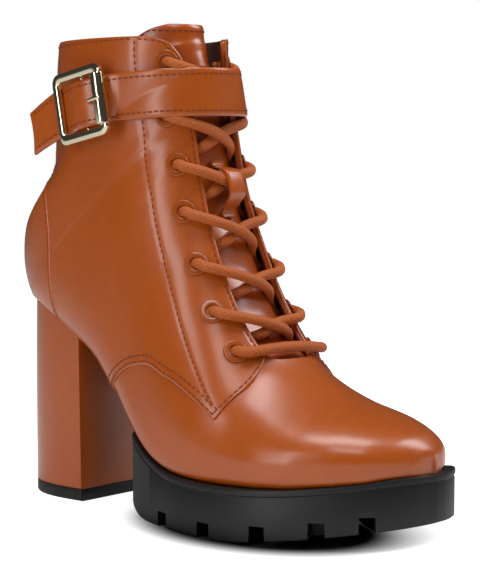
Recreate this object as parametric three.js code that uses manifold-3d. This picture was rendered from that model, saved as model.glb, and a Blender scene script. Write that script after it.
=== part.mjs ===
// A heeled lace-up ankle boot for the right foot: a hollow leather upper on a
// lugged platform sole and a block heel, with seven pairs of eyelets, a tongue
// with a lace keeper, and a buckled strap round the ankle.
// Millimetres. +X is the way the toe points, +Y is medial, +Z is up.

import * as THREE from 'three';
import Module from 'manifold-3d';

const wasm = await Module();
wasm.setup();

// Driving sizes of the foot and shaft.
const footLength = 238.5;
const ballWidth = 92;
const forefootHeight = 22;
const toeSpring = 9;
const seatHeight = 95.3;
const instepHeight = 64;
const throatReach = 157.5;
const collarHeight = 220;
const shaftDepth = 90;
const shaftWidth = 70;
const wall = 2;
const gap = 0.3;
const fine = 0.05;

// Driving sizes of the pieces that are sewn, moulded or fitted to them.
const leather = 1;
const counterLift = 0.7;
const lastingMargin = 8.5;
const throatGap = 16;
const insoleThickness = 2.2;
const tongueThickness = 1.8;
const tongueWidth = 52;
const tongueRecess = 5.8;
const keeperWidth = 9.5;
const soleWidth = 98;
const rimLip = 1.6;
const lugDepth = 7;
const lugGap = 8;
const shankThickness = 3;
const heelTopWidth = 58;
const heelBottomWidth = 56.5;
const heelDepth = 49.5;
const heelRear = 9.1;
const heelRake = 2.5;
const topPieceHeight = 5.9;
const eyeletPitch = 27.8;
const eyeletHole = 2.75;
const eyeletFlange = 5.5;
const laceThickness = 4.8;
const straying = 2.2;
const strapWidth = 22;
const strapThickness = 2.1;
const buckleWidth = 32.4;
const buckleHeight = 32;
const buckleBar = 3;
const buckleTilt = 8;

const heelRise = seatHeight - forefootHeight;
const shaftHeight = collarHeight - seatHeight;
const collarBack = 0.131 * footLength;
const collarFront = collarBack + shaftDepth;
const throatHeight = forefootHeight + instepHeight;

// Sections of the forefoot, from the toe tip to the foot of the throat. x and xTop are shares of
// footLength at the sole and at the crest, spring of toeSpring, height of instepHeight, and lateral,
// medial and crest of ballWidth. widest is how far up the section its widest place lies. top and
// bottom are the roundness of its two halves: 2 is an ellipse and more is squarer.
const footRows = [
  { x: 1.0, xTop: 1.0, spring: 0.8, height: 0.15, lateral: 0.072, medial: 0.077, crest: 0.074, widest: 0.45, top: 2, bottom: 2.4 },
  { x: 0.994, xTop: 0.994, spring: 0.8, height: 0.192, lateral: -0.045, medial: 0.168, crest: 0.066, widest: 0.44, top: 2.1, bottom: 2.8 },
  { x: 0.975, xTop: 0.975, spring: 0.75, height: 0.278, lateral: -0.16, medial: 0.262, crest: 0.056, widest: 0.42, top: 2.05, bottom: 3.6 },
  { x: 0.94, xTop: 0.94, spring: 0.57, height: 0.363, lateral: -0.272, medial: 0.348, crest: 0.047, widest: 0.4, top: 2.08, bottom: 5 },
  { x: 0.885, xTop: 0.887, spring: 0.37, height: 0.456, lateral: -0.375, medial: 0.434, crest: 0.041, widest: 0.37, top: 2.06, bottom: 6 },
  { x: 0.818, xTop: 0.826, spring: 0.17, height: 0.554, lateral: -0.452, medial: 0.47, crest: 0.033, widest: 0.33, top: 1.9, bottom: 7 },
  { x: 0.746, xTop: 0.763, spring: 0.05, height: 0.685, lateral: -0.495, medial: 0.481, crest: 0.028, widest: 0.29, top: 1.75, bottom: 7 },
  { x: 0.675, xTop: 0.7065, spring: 0, height: 0.825, lateral: -0.505, medial: 0.482, crest: 0.022, widest: 0.25, top: 1.82, bottom: 7 },
];

// Sections from the foot of the throat, round the heel and up the shaft. x is a share of footLength
// at the sole or back, rise of the climb from forefoot to heel seat, and up of the shaft's height.
// At the front, lean is a share of the way from collar to throat and climb of the height between
// them. lateral and medial are shares of shaftWidth.
const ankleRows = [
  { x: 0.604, rise: 0.007, up: 0, lean: 1.0, climb: 0, lateral: -0.675, medial: 0.607, crest: 0.02, widest: 0.22, top: 2.05, bottom: 7 },
  { x: 0.533, rise: 0.03, up: 0, lean: 0.78, climb: 0.097, lateral: -0.65, medial: 0.571, crest: 0.014, widest: 0.22, top: 2.2, bottom: 6.5 },
  { x: 0.47, rise: 0.105, up: 0, lean: 0.6, climb: 0.194, lateral: -0.612, medial: 0.536, crest: 0.01, widest: 0.23, top: 2.3, bottom: 6 },
  { x: 0.411, rise: 0.25, up: 0, lean: 0.42, climb: 0.313, lateral: -0.568, medial: 0.507, crest: 0.005, widest: 0.26, top: 2.35, bottom: 5.5 },
  { x: 0.352, rise: 0.445, up: 0, lean: 0.265, climb: 0.425, lateral: -0.53, medial: 0.486, crest: 0, widest: 0.3, top: 2.35, bottom: 5 },
  { x: 0.285, rise: 0.645, up: 0, lean: 0.152, climb: 0.53, lateral: -0.507, medial: 0.471, crest: 0, widest: 0.36, top: 2.35, bottom: 4.8 },
  { x: 0.21, rise: 0.78, up: 0, lean: 0.087, climb: 0.612, lateral: -0.493, medial: 0.464, crest: 0, widest: 0.42, top: 2.38, bottom: 4.6 },
  { x: 0.134, rise: 0.88, up: 0, lean: 0.05, climb: 0.675, lateral: -0.48, medial: 0.464, crest: 0, widest: 0.46, top: 2.4, bottom: 4 },
  { x: 0.071, rise: 0.955, up: 0, lean: 0.03, climb: 0.728, lateral: -0.471, medial: 0.46, crest: -0.006, widest: 0.48, top: 2.38, bottom: 3.1 },
  { x: 0.042, rise: 1.0, up: 0, lean: 0.02, climb: 0.769, lateral: -0.471, medial: 0.452, crest: -0.012, widest: 0.5, top: 2.35, bottom: 2.6 },
  { x: 0.0225, rise: 1.0, up: 0.046, lean: 0.012, climb: 0.802, lateral: -0.471, medial: 0.444, crest: -0.018, widest: 0.5, top: 2.32, bottom: 2.35 },
  { x: 0.0125, rise: 1.0, up: 0.126, lean: 0.006, climb: 0.836, lateral: -0.471, medial: 0.432, crest: -0.024, widest: 0.5, top: 2.3, bottom: 2.25 },
  { x: 0.02, rise: 1.0, up: 0.238, lean: 0.002, climb: 0.866, lateral: -0.471, medial: 0.418, crest: -0.03, widest: 0.5, top: 2.27, bottom: 2.2 },
  { x: 0.056, rise: 1.0, up: 0.335, lean: 0, climb: 0.89, lateral: -0.47, medial: 0.402, crest: -0.03, widest: 0.5, top: 2.12, bottom: 2.02 },
  { x: 0.092, rise: 1.0, up: 0.43, lean: 0, climb: 0.91, lateral: -0.472, medial: 0.39, crest: -0.03, widest: 0.5, top: 2.12, bottom: 1.9 },
  { x: 0.108, rise: 1.0, up: 0.54, lean: 0, climb: 0.933, lateral: -0.478, medial: 0.378, crest: -0.03, widest: 0.5, top: 2.12, bottom: 1.9 },
  { x: 0.1165, rise: 1.0, up: 0.68, lean: 0, climb: 0.955, lateral: -0.48, medial: 0.37, crest: -0.03, widest: 0.5, top: 2.12, bottom: 2 },
  { x: 0.126, rise: 1.0, up: 0.85, lean: 0, climb: 0.98, lateral: -0.482, medial: 0.365, crest: -0.03, widest: 0.5, top: 2.12, bottom: 2.1 },
  { x: 0.131, rise: 1.0, up: 1.0, lean: 0, climb: 1.0, lateral: -0.475, medial: 0.36, crest: -0.03, widest: 0.5, top: 2.12, bottom: 2.1 },
  { x: 0.137, rise: 1.0, up: 1.16, lean: 0, climb: 1.149, lateral: -0.47, medial: 0.355, crest: -0.03, widest: 0.5, top: 2.12, bottom: 2.1 },
];
const collarRow = footRows.length + ankleRows.length - 2;

// The last: a closed surface lofted through the sections of both tables.
function rowsInMillimetres() {
  const foot = footRows.map((row) => {
    const sole = forefootHeight + row.spring * toeSpring;
    return {
      base: [row.x * footLength, sole],
      crown: [row.xTop * footLength, sole + row.height * instepHeight],
      sides: [row.lateral * ballWidth, row.medial * ballWidth, row.crest * ballWidth],
      form: [row.widest, row.top, row.bottom],
    };
  });
  const ankle = ankleRows.map((row) => ({
    base: [row.x * footLength, forefootHeight + row.rise * heelRise + row.up * shaftHeight],
    crown: [
      collarFront + row.lean * (throatReach - collarFront),
      throatHeight + row.climb * (collarHeight - throatHeight),
    ],
    sides: [row.lateral * shaftWidth, row.medial * shaftWidth, row.crest * shaftWidth],
    form: [row.widest, row.top, row.bottom],
  }));
  return [...foot, ...ankle];
}

const rows = rowsInMillimetres();
const curveThrough = (pick) =>
  new THREE.CatmullRomCurve3(rows.map((row) => new THREE.Vector3(...pick(row))), false, 'centripetal');
const baseCurve = curveThrough((row) => [...row.base, 0]);
const crownCurve = curveThrough((row) => [...row.crown, 0]);
const sideCurve = curveThrough((row) => row.sides);
const formCurve = curveThrough((row) => row.form);

// A point of the last at section u, at angle a round it: 0 is the crest, positive is medial,
// and half a turn either way is the middle of the sole or back.
function lastPoint(u, a) {
  const t = u / (rows.length - 1);
  const base = baseCurve.getPoint(t);
  const crown = crownCurve.getPoint(t);
  const sides = sideCurve.getPoint(t);
  const form = formCurve.getPoint(t);
  const turn = Math.abs(a);
  const upper = turn <= Math.PI / 2;
  const power = 2 / (upper ? form.y : form.z);
  const across = Math.sin(turn) ** power;
  const along = Math.abs(Math.cos(turn)) ** power;
  const height = upper ? form.x + (1 - form.x) * along : form.x * (1 - along);
  const middle = upper ? sides.z : (sides.x + sides.y) / 2;
  const side = a < 0 ? sides.x : sides.y;
  return new THREE.Vector3(
    base.x + (crown.x - base.x) * height,
    middle + (side - middle) * across,
    base.y + (crown.y - base.y) * height,
  );
}


// The unit normal of the last, facing out.
function lastNormal(u, a) {
  if (u < 0.02) return new THREE.Vector3(1, 0, 0);
  const du = 0.02;
  const da = 0.012;
  const wrap = (angle) => (angle > Math.PI ? angle - 2 * Math.PI : angle < -Math.PI ? angle + 2 * Math.PI : angle);
  const from = Math.max(0.02, u - du);
  const along = lastPoint(Math.min(u + du, rows.length - 1), a).sub(lastPoint(from, a));
  const round = lastPoint(Math.max(u, 0.03), wrap(a + da)).sub(lastPoint(Math.max(u, 0.03), wrap(a - da)));
  return round.cross(along).normalize();
}

// A point of the last moved out along its normal by lift.
const skin = (u, a, lift) => lastPoint(u, a).addScaledVector(lastNormal(u, a), lift);

// The angle at section u whose distance along the section is girth, measured from the crest,
// or from the middle of the sole when under is true. Positive girth is medial.
const girthTables = new Map();
function angleAtGirth(u, girth, under) {
  const side = girth < 0 ? -1 : 1;
  const key = `${u.toFixed(5)} ${side} ${under}`;
  if (!girthTables.has(key)) {
    const table = [{ angle: under ? side * Math.PI : 0, reach: 0 }];
    let last = lastPoint(u, table[0].angle);
    for (let k = 1; k <= 90; k++) {
      const share = k / 90;
      const angle = under ? side * (Math.PI - 1.7 * share ** 3) : side * Math.PI * 0.985 * share;
      const next = lastPoint(u, angle);
      table.push({ angle, reach: table[k - 1].reach + next.distanceTo(last) });
      last = next;
    }
    girthTables.set(key, table);
  }
  const table = girthTables.get(key);
  const reach = Math.min(Math.abs(girth), table[table.length - 1].reach);
  const k = Math.max(1, table.findIndex((entry) => entry.reach >= reach));
  const share = (reach - table[k - 1].reach) / (table[k].reach - table[k - 1].reach || 1);
  return table[k - 1].angle + share * (table[k].angle - table[k - 1].angle);
}

// A named column of a table at a place between its rows, smoothly.
function read(table, column, at) {
  const last = table.length - 1;
  let k = table.findIndex((row) => row.at >= at);
  k = k < 0 ? last : Math.max(1, k);
  const slope = (i) => {
    const a = table[Math.max(0, i - 1)];
    const b = table[Math.min(last, i + 1)];
    return (b[column] - a[column]) / (b.at - a.at);
  };
  const from = table[k - 1];
  const to = table[k];
  const span = to.at - from.at;
  const t = Math.min(1, Math.max(0, (at - from.at) / span));
  const bend = t * (1 - t) * span * ((1 - t) * slope(k - 1) - t * slope(k));
  return from[column] + (to[column] - from[column]) * t * t * (3 - 2 * t) + bend;
}

const { Manifold } = wasm;

// A solid from corners and triangles, turned to face out.
function solid(corners, triangles) {
  const make = (list) =>
    new Manifold(
      new wasm.Mesh({
        numProp: 3,
        vertProperties: new Float32Array(corners.flatMap((c) => [c.x, c.y, c.z])),
        triVerts: new Uint32Array(list.flat()),
      }),
    );
  const made = make(triangles);
  return made.volume() > 0 ? made : make(triangles.map(([a, b, c]) => [a, c, b]));
}

// A solid through a row of closed rings. strip says that each ring is a flat band, whose ends are
// closed across it, corner to corner; otherwise each end is closed from its middle.
function throughRings(rings, strip) {
  const size = rings[0].length;
  const corners = rings.flat();
  const triangles = [];
  for (let i = 0; i + 1 < rings.length; i++) {
    for (let j = 0; j < size; j++) {
      const k = (j + 1) % size;
      const [a, b, c, d] = [i * size + j, i * size + k, (i + 1) * size + k, (i + 1) * size + j];
      triangles.push([a, b, c], [a, c, d]);
    }
  }
  for (const [start, end] of [[0, false], [(rings.length - 1) * size, true]]) {
    const face = [];
    if (strip) {
      for (let j = 0; j + 1 < size / 2; j++) {
        const [a, b, c, d] = [j, j + 1, size - 2 - j, size - 1 - j].map((n) => start + n);
        face.push([a, c, b], [a, d, c]);
      }
    } else {
      const middle = new THREE.Vector3();
      rings[end ? rings.length - 1 : 0].forEach((p) => middle.addScaledVector(p, 1 / size));
      corners.push(middle);
      for (let j = 0; j < size; j++) face.push([corners.length - 1, start + ((j + 1) % size), start + j]);
    }
    triangles.push(...(end ? face.map(([a, b, c]) => [a, c, b]) : face));
  }
  return solid(corners, triangles);
}

const steps = (from, to, count) => Array.from({ length: count + 1 }, (_, i) => from + ((to - from) * i) / count);

// The last as a solid through the sections named by places, moved out by lift.
function form(places, around, lift) {
  return throughRings(
    places.map((u) =>
      steps(-Math.PI, Math.PI, around)
        .slice(0, -1)
        .map((a) => skin(u, a, lift)),
    ),
  );
}

// A sheet that follows the last. places lists the sections, span gives the girths of its two edges
// at a section, and inner and outer give its two faces' distances from the last. ease widens it.
function sheet({ places, span, across, inner, outer, under = false, ease = 0 }) {
  const value = (of, u, g) => (typeof of === 'function' ? of(u, g) : of);
  return throughRings(
    places.map((u) => {
      const [from, to] = span(u);
      const girths = steps(from, to, across);
      girths[0] -= ease * Math.sign(to - from);
      girths[across] += ease * Math.sign(to - from);
      const row = girths.map((g) => ({ g, a: angleAtGirth(u, g, under) }));
      return [
        ...row.map(({ g, a }) => skin(u, a, value(inner, u, g))),
        ...row.reverse().map(({ g, a }) => skin(u, a, value(outer, u, g))),
      ];
    }),
    true,
  );
}

// A flat outline in x and z, carried right through the boot from side to side.
function sideCut(outline) {
  const ring = (y) => outline.map(([x, z]) => new THREE.Vector3(x, y, z));
  return throughRings([ring(-ballWidth), ring(ballWidth)]);
}

const largest = (made) => made.decompose().sort((a, b) => b.volume() - a.volume())[0];

// The girth from the crest to each edge of the throat's opening, in throatGap, at each section.
const throatRows = [
  { at: 7.08, lateral: 0.3, medial: 0.3 },
  { at: 7.2, lateral: 0.66, medial: 0.66 },
  { at: 7.45, lateral: 0.94, medial: 0.94 },
  { at: 8, lateral: 1.06, medial: 1.06 },
  { at: 9.5, lateral: 1.1, medial: 1.1 },
  { at: 11, lateral: 1.07, medial: 1.07 },
  { at: 12.5, lateral: 0.96, medial: 0.96 },
  { at: 14, lateral: 0.93, medial: 0.93 },
  { at: 17, lateral: 0.91, medial: 0.91 },
  { at: 20.5, lateral: 0.94, medial: 0.9 },
  { at: 22.8, lateral: 1.05, medial: 0.82 },
  { at: 24, lateral: 1.2, medial: 0.74 },
  { at: 25, lateral: 1.48, medial: 0.72 },
  { at: 25.4, lateral: 1.68, medial: 0.76 },
  { at: 25.7, lateral: 1.92, medial: 0.86 },
  { at: 26, lateral: 2.35, medial: 1.15 },
  { at: 26.6, lateral: 3.2, medial: 2 },
];
const throatHalf = (u, side) => throatGap * read(throatRows, side < 0 ? 'lateral' : 'medial', u);

// The quarter's two edges on each side, as shares of ballWidth along the girth: inner is its front
// edge and then the throat, outer the seam where it laps the vamp.
const quarterRows = [
  { at: 7.14, inner: 0.32, outer: 0.37 },
  { at: 7.22, inner: 0.27, outer: 0.43 },
  { at: 7.35, inner: 0.215, outer: 0.52 },
  { at: 7.48, inner: 0.185, outer: 0.612 },
  { at: 7.7, inner: 0.16, outer: 0.622 },
  { at: 8, inner: 0.13, outer: 0.633 },
  { at: 8.4, inner: 0.1, outer: 0.648 },
  { at: 9.5, inner: 0.1, outer: 0.717 },
  { at: 10.2, inner: 0.1, outer: 0.785 },
  { at: 10.8, inner: 0.1, outer: 0.855 },
  { at: 11.2, inner: 0.1, outer: 0.933 },
  { at: 11.5, inner: 0.1, outer: 1.005 },
  { at: 11.72, inner: 0.1, outer: 1.08 },
  { at: 11.9, inner: 0.1, outer: 1.18 },
  { at: 12.05, inner: 0.1, outer: 1.36 },
  { at: 12.5, inner: 0.1, outer: 1.37 },
];

// Everything behind the counter's seam, seen from the side, in shares of footLength and shaftHeight.
const counterSeam = [
  { back: 0.205, up: -0.3 },
  { back: 0.188, up: -0.09 },
  { back: 0.179, up: 0.09 },
  { back: 0.176, up: 0.28 },
  { back: 0.165, up: 0.42 },
  { back: 0.14, up: 0.52 },
  { back: 0.1, up: 0.58 },
  { back: -0.05, up: 0.61 },
];
const counterOutline = (ease) => [
  ...counterSeam.map(({ back, up }) => [back * footLength + ease, seatHeight + up * shaftHeight + ease]),
  [-0.05 * footLength, seatHeight - 0.3 * shaftHeight],
];

// The outside of the upper, moved out by ease: the last, the quarter lapped over it, and the counter.
function outside(ease) {
  const vamp = form(steps(0, collarRow, 42), 32, ease);
  const raised = form(steps(6.6, collarRow, 28), 32, leather + ease);
  const side = (sign) =>
    sheet({
      places: [...quarterRows.map((row) => row.at)],
      span: (u) => {
        const row = quarterRows.find((entry) => entry.at === u);
        return [sign * row.inner * ballWidth, sign * row.outer * ballWidth];
      },
      across: 10,
      inner: -1.2,
      outer: leather + 2.5,
      ease,
    });
  const rear = form([12.1 - ease / 5, ...steps(12.4, collarRow, 16)], 24, leather + 3);
  const covered = side(-1).add(side(1)).add(rear);
  const counter = form([13.2 - ease / 5, ...steps(13.4, 24, 15)], 32, leather + counterLift + ease).intersect(
    sideCut(counterOutline(ease)),
  );
  return vamp.add(raised.intersect(covered)).add(counter);
}

// The room inside the upper's wall, drawn in by ease.
const inside = (ease) => form([0.75 + ease / 3, ...steps(1.3, collarRow + 0.9, 27)], 26, -wall - ease);

// The upper: one wall, open at the collar, down the throat, and underneath inside its lasting margin.
const eyeletRows = [
  { at: 23.62, girth: 0.9 },
  { at: 17.93, girth: 1 },
  { at: 14.25, girth: 0.95 },
  { at: 12.57, girth: 1.02 },
  { at: 11.05, girth: 1.09 },
  { at: 9.6, girth: 1.11 },
  { at: 8.11, girth: 1.06 },
];

// A frame on the last: its place, and the directions along it, round it and out of it.
function seat(u, girth, lift) {
  const angle = angleAtGirth(u, girth, false);
  const out = lastNormal(u, angle);
  const up = lastPoint(u + 0.05, angle).sub(lastPoint(u - 0.05, angle)).normalize();
  const side = new THREE.Vector3().crossVectors(up, out).normalize();
  const rise = new THREE.Vector3().crossVectors(out, side);
  return new THREE.Matrix4().makeBasis(side, rise, out).setPosition(skin(u, angle, lift));
}

const eyeletSeats = eyeletRows.flatMap(({ at, girth }, i) => [
  { name: `eyelet_lateral_${i + 1}`, u: at, girth: -girth * eyeletPitch },
  { name: `eyelet_medial_${i + 1}`, u: at, girth: girth * eyeletPitch },
]);

// A turned piece from its profile of radius and height, about the frame's own upright.
function turned(profile, matrix, segments = 10) {
  const corners = [];
  const triangles = [];
  const size = profile.length;
  for (let i = 0; i < segments; i++) {
    const angle = (2 * Math.PI * i) / segments;
    for (const [radius, height] of profile) {
      corners.push(
        new THREE.Vector3(radius * Math.cos(angle), radius * Math.sin(angle), height).applyMatrix4(matrix),
      );
    }
    for (let j = 0; j < size; j++) {
      const k = (j + 1) % size;
      const [a, b] = [i * size + j, i * size + k];
      const [c, d] = [((i + 1) % segments) * size + k, ((i + 1) % segments) * size + j];
      triangles.push([a, b, c], [a, c, d]);
    }
  }
  return solid(corners, triangles);
}

function rod(matrix, radius, from, to, segments = 16) {
  const ring = (z) =>
    steps(0, 2 * Math.PI, segments)
      .slice(0, -1)
      .map((t) => new THREE.Vector3(radius * Math.cos(t), radius * Math.sin(t), z).applyMatrix4(matrix));
  return throughRings([ring(from), ring(to)]);
}

function makeUpper() {
  const hollow = inside(0);
  const opening = sheet({
    places: steps(1.6, 16.5, 14),
    span: (u) => [-1, 1].map((sign) => sign * underReach(u, sign, lastingMargin)),
    across: 6,
    inner: -wall - 2,
    outer: leather + counterLift + 2,
    under: true,
  });
  const throat = sheet({
    places: [7.08, 7.14, 7.2, 7.32, 7.45, ...steps(7.7, 22.7, 20), ...steps(23.2, 25.2, 4), 25.5, 25.7, 26, 26.6],
    span: (u) => [-throatHalf(u, -1), throatHalf(u, 1)],
    across: 6,
    inner: -wall - 3,
    outer: leather + 3,
  });
  const holes = eyeletSeats.map(({ u, girth }) => rod(seat(u, girth, 0), eyeletHole + 0.95, -wall - 3, leather + 3, 10));
  let made = outside(0).subtract(hollow).subtract(opening).subtract(throat);
  for (const hole of holes) made = made.subtract(hole);
  return largest(made);
}

// How far from the middle of the sole, along the section, the last's bottom runs, less margin.
function underReach(u, side, margin) {
  const sides = sideCurve.getPoint(u / (rows.length - 1));
  const half = (sides.y - sides.x) / 2;
  return Math.max(1.2, half - margin);
}

const underSheet = (places, margin, inner, outer) =>
  sheet({
    places,
    span: (u) => [-1, 1].map((sign) => sign * underReach(u, sign, margin)),
    across: 5,
    inner,
    outer,
    under: true,
  });

const makeInsole = () =>
  underSheet(steps(1.5, 17, 18), wall + 5, -wall - gap - insoleThickness, -wall).intersect(inside(gap));

// The sole under the forefoot, by stations from its back edge to its toe. x is a share of
// footLength, lateral and medial of soleWidth, and lift the height of its underside as a share of
// toeSpring.
const soleRows = [
  { at: 0.421, lateral: -0.355, medial: 0.335, lift: 0.9 },
  { at: 0.425, lateral: -0.375, medial: 0.35, lift: 0.75 },
  { at: 0.437, lateral: -0.388, medial: 0.358, lift: 0.38 },
  { at: 0.453, lateral: -0.4, medial: 0.366, lift: 0.14 },
  { at: 0.475, lateral: -0.412, medial: 0.378, lift: 0.02 },
  { at: 0.497, lateral: -0.427, medial: 0.39, lift: 0 },
  { at: 0.53, lateral: -0.452, medial: 0.402, lift: 0 },
  { at: 0.57, lateral: -0.478, medial: 0.417, lift: 0 },
  { at: 0.61, lateral: -0.495, medial: 0.435, lift: 0 },
  { at: 0.65, lateral: -0.504, medial: 0.455, lift: 0 },
  { at: 0.69, lateral: -0.506, medial: 0.474, lift: 0 },
  { at: 0.73, lateral: -0.5, medial: 0.486, lift: 0.07 },
  { at: 0.77, lateral: -0.483, medial: 0.488, lift: 0.2 },
  { at: 0.81, lateral: -0.452, medial: 0.48, lift: 0.33 },
  { at: 0.85, lateral: -0.408, medial: 0.462, lift: 0.46 },
  { at: 0.885, lateral: -0.36, medial: 0.437, lift: 0.6 },
  { at: 0.915, lateral: -0.31, medial: 0.407, lift: 0.73 },
  { at: 0.945, lateral: -0.245, medial: 0.367, lift: 0.85 },
  { at: 0.968, lateral: -0.182, medial: 0.327, lift: 0.94 },
  { at: 0.986, lateral: -0.115, medial: 0.28, lift: 1 },
  { at: 0.999, lateral: -0.045, medial: 0.222, lift: 1.05 },
  { at: 1.007, lateral: 0.02, medial: 0.165, lift: 1.08 },
  { at: 1.0105, lateral: 0.055, medial: 0.125, lift: 1.1 },
];

// The height of the last's lowest edge above the floor at a share of footLength from the back.
function featherHeight(share) {
  const x = share * footLength;
  let [low, high] = [0, 16];
  for (let k = 0; k < 30; k++) {
    const u = (low + high) / 2;
    if (baseCurve.getPoint(u / (rows.length - 1)).x > x) low = u;
    else high = u;
  }
  return baseCurve.getPoint(low / (rows.length - 1)).y;
}

function soleOutlinePoint(at, side) {
  return new THREE.Vector2(at * footLength, soleWidth * read(soleRows, side < 0 ? 'lateral' : 'medial', at));
}

// The notches between the lugs round the sole's edge: across says that one runs right through.
const lugRows = [
  { at: 0.533, side: -1, reach: 15 },
  { at: 0.655, side: -1, reach: 15 },
  { at: 0.775, side: -1, reach: 15 },
  { at: 0.876, side: -1, reach: 14 },
  { at: 0.943, side: -1, reach: 118 },
  { at: 0.52, side: 1, reach: 15 },
  { at: 0.74, side: 1, reach: 15 },
  { at: 0.855, side: 1, reach: 15 },
];

function makeOutsole(cutter) {
  const body = throughRings(
    soleRows.map(({ at, lateral, medial, lift }) => {
      const x = at * footLength;
      const [low, high] = [lift * toeSpring, featherHeight(Math.min(at, 0.995)) + rimLip];
      const [left, right] = [lateral * soleWidth, medial * soleWidth];
      const ease = Math.min(1, (right - left) / 8);
      return [
        [left + 1.4 * ease, low], [left + 0.2 * ease, low + 1.6], [left, high - 0.9], [left + 0.9 * ease, high],
        [right - 0.9 * ease, high], [right, high - 0.9], [right - 0.2 * ease, low + 1.6], [right - 1.4 * ease, low],
      ].map(([y, z]) => new THREE.Vector3(x, y, z));
    }),
    true,
  );
  let made = body.add(shank(0));
  for (const { at, side, reach } of lugRows) {
    const edge = soleOutlinePoint(at, side);
    const along = soleOutlinePoint(at + 0.015, side).sub(soleOutlinePoint(at - 0.015, side)).normalize();
    const inward = new THREE.Vector2(-along.y, along.x).multiplyScalar(-side);
    const low = read(soleRows, 'lift', at) * toeSpring;
    const corner = (a, b, z) =>
      new THREE.Vector3(edge.x + along.x * a + inward.x * b, edge.y + along.y * a + inward.y * b, z);
    const ring = (b) => [
      corner(-lugGap / 2, b, -5), corner(lugGap / 2, b, -5),
      corner(lugGap / 2 - 0.5, b, low + lugDepth), corner(-lugGap / 2 + 0.5, b, low + lugDepth),
    ];
    made = made.subtract(throughRings([ring(-6), ring(reach)]));
  }
  return largest(made.subtract(cutter));
}

// The thin part of the sole that runs back from the forefoot under the arch and the heel seat.
const shank = (ease) =>
  underSheet([...steps(6.2, 16.2, 13), 16.6 + ease / 3], 13 - ease, -0.6, leather + counterLift + gap + shankThickness - 2 + ease);

// The heel's outline as seen from above, in shares: back from the breast of heelDepth, and out of half
// its width.
const heelRows = [
  { back: 0, out: 0 },
  { back: 0, out: 0.93 },
  { back: 0.02, out: 0.975 },
  { back: 0.07, out: 0.99 },
  { back: 0.25, out: 1 },
  { back: 0.42, out: 0.985 },
  { back: 0.58, out: 0.93 },
  { back: 0.72, out: 0.83 },
  { back: 0.83, out: 0.69 },
  { back: 0.91, out: 0.53 },
  { back: 0.965, out: 0.34 },
  { back: 0.99, out: 0.18 },
  { back: 1, out: 0 },
];

function heelRing(z) {
  const share = z / seatHeight;
  const half = (heelBottomWidth + (heelTopWidth - heelBottomWidth) * share ** 1.4) / 2;
  const front = heelRear + heelDepth - 0.9 * share;
  const depth = heelDepth - heelRake * share ** 2;
  const half1 = heelRows.map(({ back, out }) => new THREE.Vector3(front - back * depth, -out * half, z));
  const half2 = heelRows.slice(1, -1).reverse().map(({ back, out }) => new THREE.Vector3(front - back * depth, out * half, z));
  return [...half1, ...half2];
}

const makeTopPiece = () => throughRings([0, 0.7, topPieceHeight].map((z) => {
  const ring = heelRing(z);
  if (z > 0) return ring;
  const middle = heelRear + heelDepth / 2;
  return ring.map((p) => new THREE.Vector3(middle + (p.x - middle) * 0.975, p.y * 0.975, 0));
}));

function makeHeel(cutter) {
  const block = throughRings(steps(topPieceHeight + 0.1, seatHeight + 12, 6).map(heelRing));
  const seatLine = steps(0, 0.28, 8).map((share) => [share * footLength, featherHeight(share) + 2.4]);
  const below = sideCut([[-10, -10], [90, -10], ...seatLine.reverse(), [-10, featherHeight(0) + 2.4]]);
  return largest(block.intersect(below).subtract(cutter).subtract(shank(gap)));
}

// The tongue: it starts under the vamp and lies back from the throat towards the collar.
const tongueRows = [
  { at: 6.45, lateral: 0.8, medial: 0.8, sink: 0.1 },
  { at: 7, lateral: 0.9, medial: 0.9, sink: 0.1 },
  { at: 7.4, lateral: 0.96, medial: 0.96, sink: 0.12 },
  { at: 7.7, lateral: 1, medial: 1, sink: 0.4 },
  { at: 8.2, lateral: 1, medial: 1, sink: 0.9 },
  { at: 8.8, lateral: 1, medial: 1, sink: 1 },
  { at: 12, lateral: 0.94, medial: 0.94, sink: 1 },
  { at: 15, lateral: 0.92, medial: 0.92, sink: 1 },
  { at: 18, lateral: 0.96, medial: 0.92, sink: 1.1 },
  { at: 22, lateral: 1.3, medial: 1, sink: 1.5 },
  { at: 25, lateral: 1.75, medial: 1.2, sink: 2 },
  { at: 26, lateral: 1.76, medial: 1.16, sink: 2.25 },
  { at: 26.15, lateral: 1.6, medial: 1.14, sink: 2.3 },
  { at: 26.28, lateral: 1.34, medial: 1.06, sink: 2.3 },
  { at: 26.38, lateral: 0.95, medial: 0.86, sink: 2.35 },
];
const tongueFace = (u) => -wall - gap - read(tongueRows, 'sink', u) * (tongueRecess - wall - gap);

const makeTongue = () =>
  sheet({
    places: [6.45, 7, 7.4, 7.7, 8.1, 8.6, ...steps(9.4, 15, 7), ...steps(17, 25, 4), 25.6, 26, 26.15, 26.28, 26.38],
    span: (u) => [(-tongueWidth * read(tongueRows, 'lateral', u)) / 2, (tongueWidth * read(tongueRows, 'medial', u)) / 2],
    across: 7,
    inner: (u) => tongueFace(u) - tongueThickness,
    outer: (u) => tongueFace(u) + (u < 7.6 ? 0.2 : 0),
  }).intersect(inside(gap));

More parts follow.
